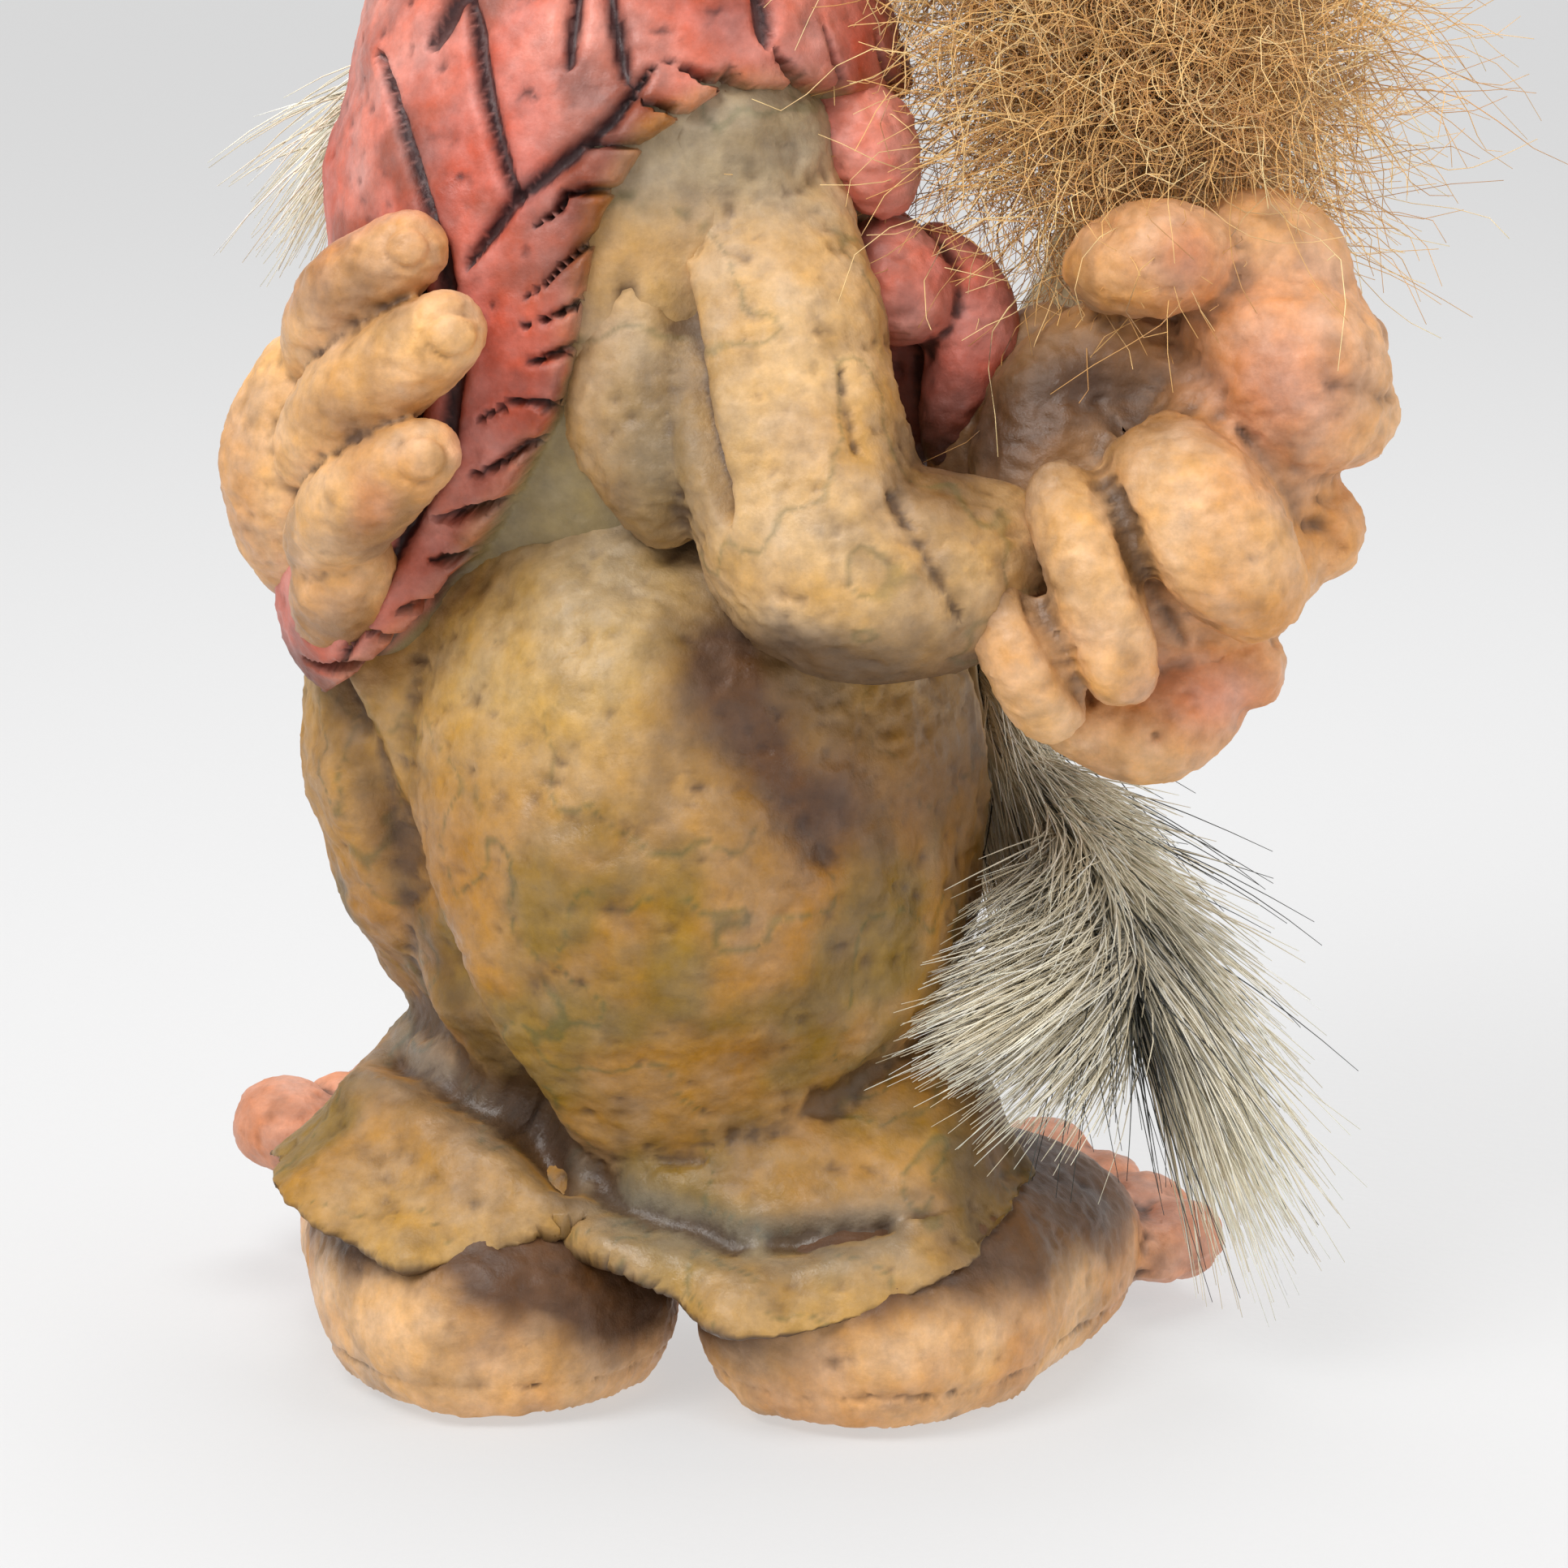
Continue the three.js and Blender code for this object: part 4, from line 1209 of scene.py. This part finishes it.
def grained(name, dark, light, scale, rough, bump, stretch=(1, 1, 1)):
    """Two colours by a stretched noise, with the same noise as relief: felt, wood, foam and hide."""
    material, nodes, links, shader = new_material(name)
    coords = nodes.new("ShaderNodeTexCoord")
    place = nodes.new("ShaderNodeMapping")
    place.inputs["Scale"].default_value = stretch
    noise = nodes.new("ShaderNodeTexNoise")
    noise.inputs["Scale"].default_value = scale
    noise.inputs["Detail"].default_value = 6
    ramp = nodes.new("ShaderNodeValToRGB")
    ramp.color_ramp.elements[0].position = 0.35
    ramp.color_ramp.elements[0].color = (*dark, 1)
    ramp.color_ramp.elements[1].position = 0.65
    ramp.color_ramp.elements[1].color = (*light, 1)
    relief = nodes.new("ShaderNodeBump")
    relief.inputs["Strength"].default_value = bump
    relief.inputs["Distance"].default_value = 0.0004
    links.new(coords.outputs["Object"], place.inputs["Vector"])
    links.new(place.outputs["Vector"], noise.inputs["Vector"])
    links.new(noise.outputs["Fac"], ramp.inputs["Fac"])
    links.new(ramp.outputs["Color"], shader.inputs["Base Color"])
    links.new(noise.outputs["Fac"], relief.inputs["Height"])
    links.new(relief.outputs["Normal"], shader.inputs["Normal"])
    shader.inputs["Roughness"].default_value = rough
    return material


# ---------------------------------------------------------------- the add-on

class GnomeSettings(bpy.types.PropertyGroup):
    voxel: bpy.props.FloatProperty(
        name="Skin step", description="Step of the sleeves' rubber skins, mm", default=0.42)
    lens: bpy.props.FloatProperty(
        name="Lens", description="Focal length of the camera, mm", default=143.3)
    distance: bpy.props.FloatProperty(
        name="Distance", description="Camera to figure, mm", default=500.0)
    pitch: bpy.props.FloatProperty(
        name="Pitch", description="Downward tilt of the camera", default=math.radians(12), subtype="ANGLE")
    aim: bpy.props.FloatVectorProperty(
        name="Aim", description="Point on the bench at the middle of the view, mm", default=(0, 0, 47))
    floor_colour: bpy.props.FloatVectorProperty(
        name="Floor", description="Colour of the floor and wall", default=(0.26, 0.26, 0.262),
        subtype="COLOR")


def settings():
    return bpy.context.scene.gnome


def cast(name, forms, relief, paint, node, slot, relax=6, voxel=None):
    """A casting in the paint of its slot, which is made the first time it is asked for."""
    material = bpy.data.materials.get("painted_" + slot) or paint_material("painted_" + slot)
    casting(name, forms, voxel or settings().voxel, relax, relief, paint, material, node)


class GNOME_OT_trousers(bpy.types.Operator):
    """Baggy trousers with ruffled hems"""
    bl_idname = "gnome.trousers"
    bl_label = "Trousers"

    def execute(self, context):
        cast("trousers", trousers_forms(), trousers_relief, trousers_paint, "trousers_casting",
             "trousers_paint", voxel=0.5)
        return {"FINISHED"}


class GNOME_OT_waistcoat(bpy.types.Operator):
    """Fringed waistcoat, its two tassels and the torso under it"""
    bl_idname = "gnome.waistcoat"
    bl_label = "Waistcoat and torso"

    def execute(self, context):
        cast("torso", torso_forms(), torso_relief, sleeve_paint, "torso_casting", "sleeve_paint", voxel=0.8)
        cast("waistcoat_shell", coat_forms(), coat_relief, coat_paint, "waistcoat", "waistcoat_paint",
             voxel=0.46)
        for name, forms in tassel_forms().items():
            cast(name + "_lobe", forms, plain_relief, tassel_paint, name, "waistcoat_paint", relax=4,
                 voxel=0.36)
        return {"FINISHED"}


class GNOME_OT_arms(bpy.types.Operator):
    """Both sleeved arms"""
    bl_idname = "gnome.arms"
    bl_label = "Arms"

    def execute(self, context):
        cast("right_arm", right_arm_forms(), right_arm_relief, sleeve_paint, "right_sleeve", "sleeve_paint")
        cast("left_arm", left_arm_forms(), plain_relief, sleeve_paint, "left_sleeve", "sleeve_paint")
        return {"FINISHED"}


class GNOME_OT_hands(bpy.types.Operator):
    """The clenched right fist and the open left hand"""
    bl_idname = "gnome.hands"
    bl_label = "Hands"

    def execute(self, context):
        cast("fist", fist_forms(), fist_relief, fist_paint, "right_fist", "skin_paint", relax=3, voxel=0.38)
        cast("open_hand", left_hand_forms(), left_hand_relief, left_hand_paint, "left_hand",
             "skin_paint", relax=3, voxel=0.32)
        return {"FINISHED"}


class GNOME_OT_feet(bpy.types.Operator):
    """Broad bare feet"""
    bl_idname = "gnome.feet"
    bl_label = "Feet"

    def execute(self, context):
        for side in ("right", "left"):
            cast(side + "_bare_foot", foot_forms(side), foot_relief, foot_paint, side + "_foot",
                 "skin_paint", relax=4, voxel=0.5)
        return {"FINISHED"}


class GNOME_OT_head(bpy.types.Operator):
    """Head with its ears, and the glass eyes"""
    bl_idname = "gnome.head"
    bl_label = "Head"

    def execute(self, context):
        cast("head", head_forms(), head_relief, head_paint, ("head_casting", "right_ear", "left_ear"),
             "skin_paint", relax=3, voxel=0.5)
        glass = eye_material()
        self.eye("right_eye", 1, glass)
        self.eye("left_eye", -1, glass)
        return {"FINISHED"}

    def eye(self, name, sign, glass):
        """A ball with a black pupil in an amber ring, by how far a point looks the face's way."""
        forward, aside, up = EYE_PLACE
        centre = on_head(forward, aside * sign, up)
        points, faces = ball(centre, EYE_RADIUS)
        piece = mesh_object(name + "_bead", points, faces)
        look = (points - np.array(centre)) @ FACE / EYE_RADIUS
        colour = under_colour(points, EYE_WHITE, EYE_AMBER, smooth(0.5, 0.58, look))
        colour = mixed(colour, EYE_BLACK, smooth(0.8, 0.87, look))
        put_colours(piece.data, colour, np.ones(len(points)))
        set_bench_points(piece.data, points)
        finish_piece(piece, glass, name)
        smoother = piece.modifiers.new("Smooth", "SUBSURF")
        smoother.levels = smoother.render_levels = 1


class GNOME_OT_wool(bpy.types.Operator):
    """Golden wool hair and eyebrows"""
    bl_idname = "gnome.wool"
    bl_label = "Wool hair"

    def execute(self, context):
        fibre = hair_material("wool_fibre", 0.5, 0.25)
        for number, name in enumerate(WOOL_WEFTS):
            wool_weft(name, 200 + number, fibre)
        brow_tuft("right_brow", 1, 220, fibre)
        brow_tuft("left_brow", -1, 221, fibre)
        return {"FINISHED"}


class GNOME_OT_beard(bpy.types.Operator):
    """The fur beard on its strip of hide"""
    bl_idname = "gnome.beard"
    bl_label = "Fur beard"

    def execute(self, context):
        fibre = hair_material("fur_fibre", 0.45, 0.15)
        points, faces = hide_strip()
        strip = mesh_object("beard_strip", points, faces)
        set_bench_points(strip.data, points)
        tanned = grained("hide", shade(196, 184, 152), shade(226, 216, 188), 300, 0.8, 0.3)
        finish_piece(strip, tanned, "beard_hide")
        fur_piece("beard_upper", 300, 0.0, 0.34, 3000, 0.35, 13, fibre)
        fur_piece("beard_lower", 301, 0.3, 0.68, 4500, 0.35, 12, fibre)
        fur_piece("beard_tip", 302, 0.6, 1.0, 6200, 0.5, 13, fibre, (-1.9, -0.6, 0.1))
        self.left_lock(fibre)
        guard_hairs(303, fibre)
        return {"FINISHED"}

    def left_lock(self, fibre):
        """A lock of the beard that comes past the left side of the chest."""
        random = np.random.default_rng(305)
        count = 1500
        t = random.uniform(0, 1, count)
        start = path_points(((-8, 30, 108), (-22, 32, 106), (-33, 26, 98)), t)
        start = start + random.normal(size=(count, 3)) * 1.5
        drift = np.array((-0.7, -0.15, -0.55)) + random.normal(size=(count, 3)) * 0.25
        lines = bowed(start, drift, np.tile((0, 0, -0.3), (count, 1)), random.uniform(7, 15, count), 5)
        colours = picked(random, count, FUR_DARK, FUR, FUR_LIGHT)
        strand_mesh("beard_left_lock_fur", lines, 0.11, 0.03, colours, fibre, "beard_left_lock")


class GNOME_OT_inner_parts(bpy.types.Operator):
    """Finishes for the dowels, the foam core and the felt pads"""
    bl_idname = "gnome.inner_parts"
    bl_label = "Inner parts"

    def execute(self, context):
        birch = grained("birch", shade(186, 148, 98), shade(222, 190, 142), 240, 0.6, 0.2, (1, 1, 0.12))
        felt = grained("felt", shade(48, 42, 38), shade(86, 76, 68), 900, 0.95, 0.8)
        foam = grained("foam", shade(208, 196, 160), shade(238, 228, 200), 500, 0.9, 0.6)
        finishes = {"foam_core": foam, "right_foot_pad": felt, "left_foot_pad": felt, "neck_dowel": birch}
        for part in ("right_ankle", "left_ankle", "right_wrist", "left_wrist"):
            finishes[part + "_dowel"] = birch
        for node, material in finishes.items():
            piece = bpy.data.objects[node]
            for slot in piece.material_slots:
                slot.material = material
        return {"FINISHED"}


FLOOR_HALF = 3000.0  # half the floor's width, mm
BEND_START = 2200.0  # where the floor begins to curve up into the wall
BEND_RADIUS = 400.0
WALL_TOP = 6000.0
FLOOR_GLOW = 0.52
SKY = 0.4
# Each lamp: its name, its place on the bench and its size in mm, and its power in watts.
LAMPS = (
    ("key", (-220, -300, 460), 320, 2.5),
    ("fill", (420, -200, 240), 420, 0.8),
    ("top", (60, 200, 620), 420, 2.2),
)


class GNOME_OT_stage(bpy.types.Operator):
    """Pale floor and wall in one sweep, soft lights and the camera"""
    bl_idname = "gnome.stage"
    bl_label = "Stage"

    def execute(self, context):
        self.sweep()
        self.lights()
        self.camera(context)
        return {"FINISHED"}

    def sweep(self):
        """Floor 6 m across: flat, then curving up by a quarter circle into a far wall."""
        x = np.linspace(-FLOOR_HALF, FLOOR_HALF, 9)
        bend = np.linspace(0, math.pi / 2, 13)
        run = np.concatenate(((-FLOOR_HALF, FLOOR_HALF / 2), BEND_START + BEND_RADIUS * np.sin(bend),
                              (BEND_START + BEND_RADIUS,)))
        rise = np.concatenate(((0, 0), BEND_RADIUS - BEND_RADIUS * np.cos(bend), (WALL_TOP,)))
        grid = np.stack((np.tile(x, len(run)), np.repeat(run, len(x)), np.repeat(rise, len(x))), axis=-1)
        place = np.arange(len(grid)).reshape(len(run), len(x))
        faces = np.stack((place[:-1, :-1], place[:-1, 1:], place[1:, 1:], place[1:, :-1]), axis=-1)
        faces = faces.reshape(-1, 4)
        points = to_figure(grid)
        points[:, 2] -= SHIFT[2] * MM
        floor = mesh_object("studio_sweep", points, faces.tolist())
        floor.data.polygons.foreach_set("use_smooth", np.ones(len(faces), bool))
        colour = tuple(settings().floor_colour)
        cloth = grained("floor_cloth", colour, colour, 900, 0.9, 0.15)
        shader = cloth.node_tree.nodes["Principled BSDF"]
        shader.inputs["Emission Color"].default_value = (1, 1, 1, 1)
        shader.inputs["Emission Strength"].default_value = FLOOR_GLOW
        floor.data.materials.append(cloth)

    def lights(self):
        world = bpy.data.worlds.new("studio")
        bpy.context.scene.world = world
        world.use_nodes = True
        background = world.node_tree.nodes["Background"]
        background.inputs["Color"].default_value = (1, 1, 1, 1)
        background.inputs["Strength"].default_value = SKY
        for name, place, size, power in LAMPS:
            light = bpy.data.lights.new(name, "AREA")
            light.size = size * MM
            light.energy = power
            self.aim(linked(name, light), np.array(place, float), np.array((0, 0, 60.0)))

    def aim(self, thing, place, target):
        """Puts a lamp or camera at a bench place, looking at another."""
        start = Vector(to_figure(place)[0])
        way = Vector(to_figure(target)[0]) - start
        thing.location = start
        thing.rotation_euler = way.to_track_quat("-Z", "Y").to_euler()

    def camera(self, context):
        wish = settings()
        lens = bpy.data.cameras.new("view")
        lens.sensor_width = 36
        lens.lens = wish.lens
        lens.clip_start = 0.01
        lens.clip_end = 20
        camera = linked("view", lens)
        target = np.array(wish.aim, float)
        back = np.array((0, -math.cos(wish.pitch), math.sin(wish.pitch))) * wish.distance
        self.aim(camera, target + back, target)
        context.scene.camera = camera
        context.scene.view_settings.view_transform = "Standard"


class GNOME_PT_panel(bpy.types.Panel):
    """The gnome's pieces, in the order they are made"""
    bl_label = "Cast Rubber Gnome"
    bl_space_type = "VIEW_3D"
    bl_region_type = "UI"
    bl_category = "Gnome"

    def draw(self, context):
        for piece in PIECES:
            self.layout.operator(piece.bl_idname)
        for field in ("voxel", "lens", "distance", "pitch", "aim", "floor_colour"):
            self.layout.prop(context.scene.gnome, field)


PIECES = (
    GNOME_OT_stage, GNOME_OT_trousers, GNOME_OT_waistcoat, GNOME_OT_arms, GNOME_OT_hands, GNOME_OT_feet,
    GNOME_OT_head, GNOME_OT_wool, GNOME_OT_beard, GNOME_OT_inner_parts,
)
CLASSES = (GnomeSettings, *PIECES, GNOME_PT_panel)


def register():
    for item in CLASSES:
        bpy.utils.register_class(item)
    bpy.types.Scene.gnome = bpy.props.PointerProperty(type=GnomeSettings)


def unregister():
    del bpy.types.Scene.gnome
    for item in reversed(CLASSES):
        bpy.utils.unregister_class(item)


def main():
    register()
    for piece in PIECES:
        group, call = piece.bl_idname.split(".")
        getattr(getattr(bpy.ops, group), call)()


if __name__ == "__main__":
    main()
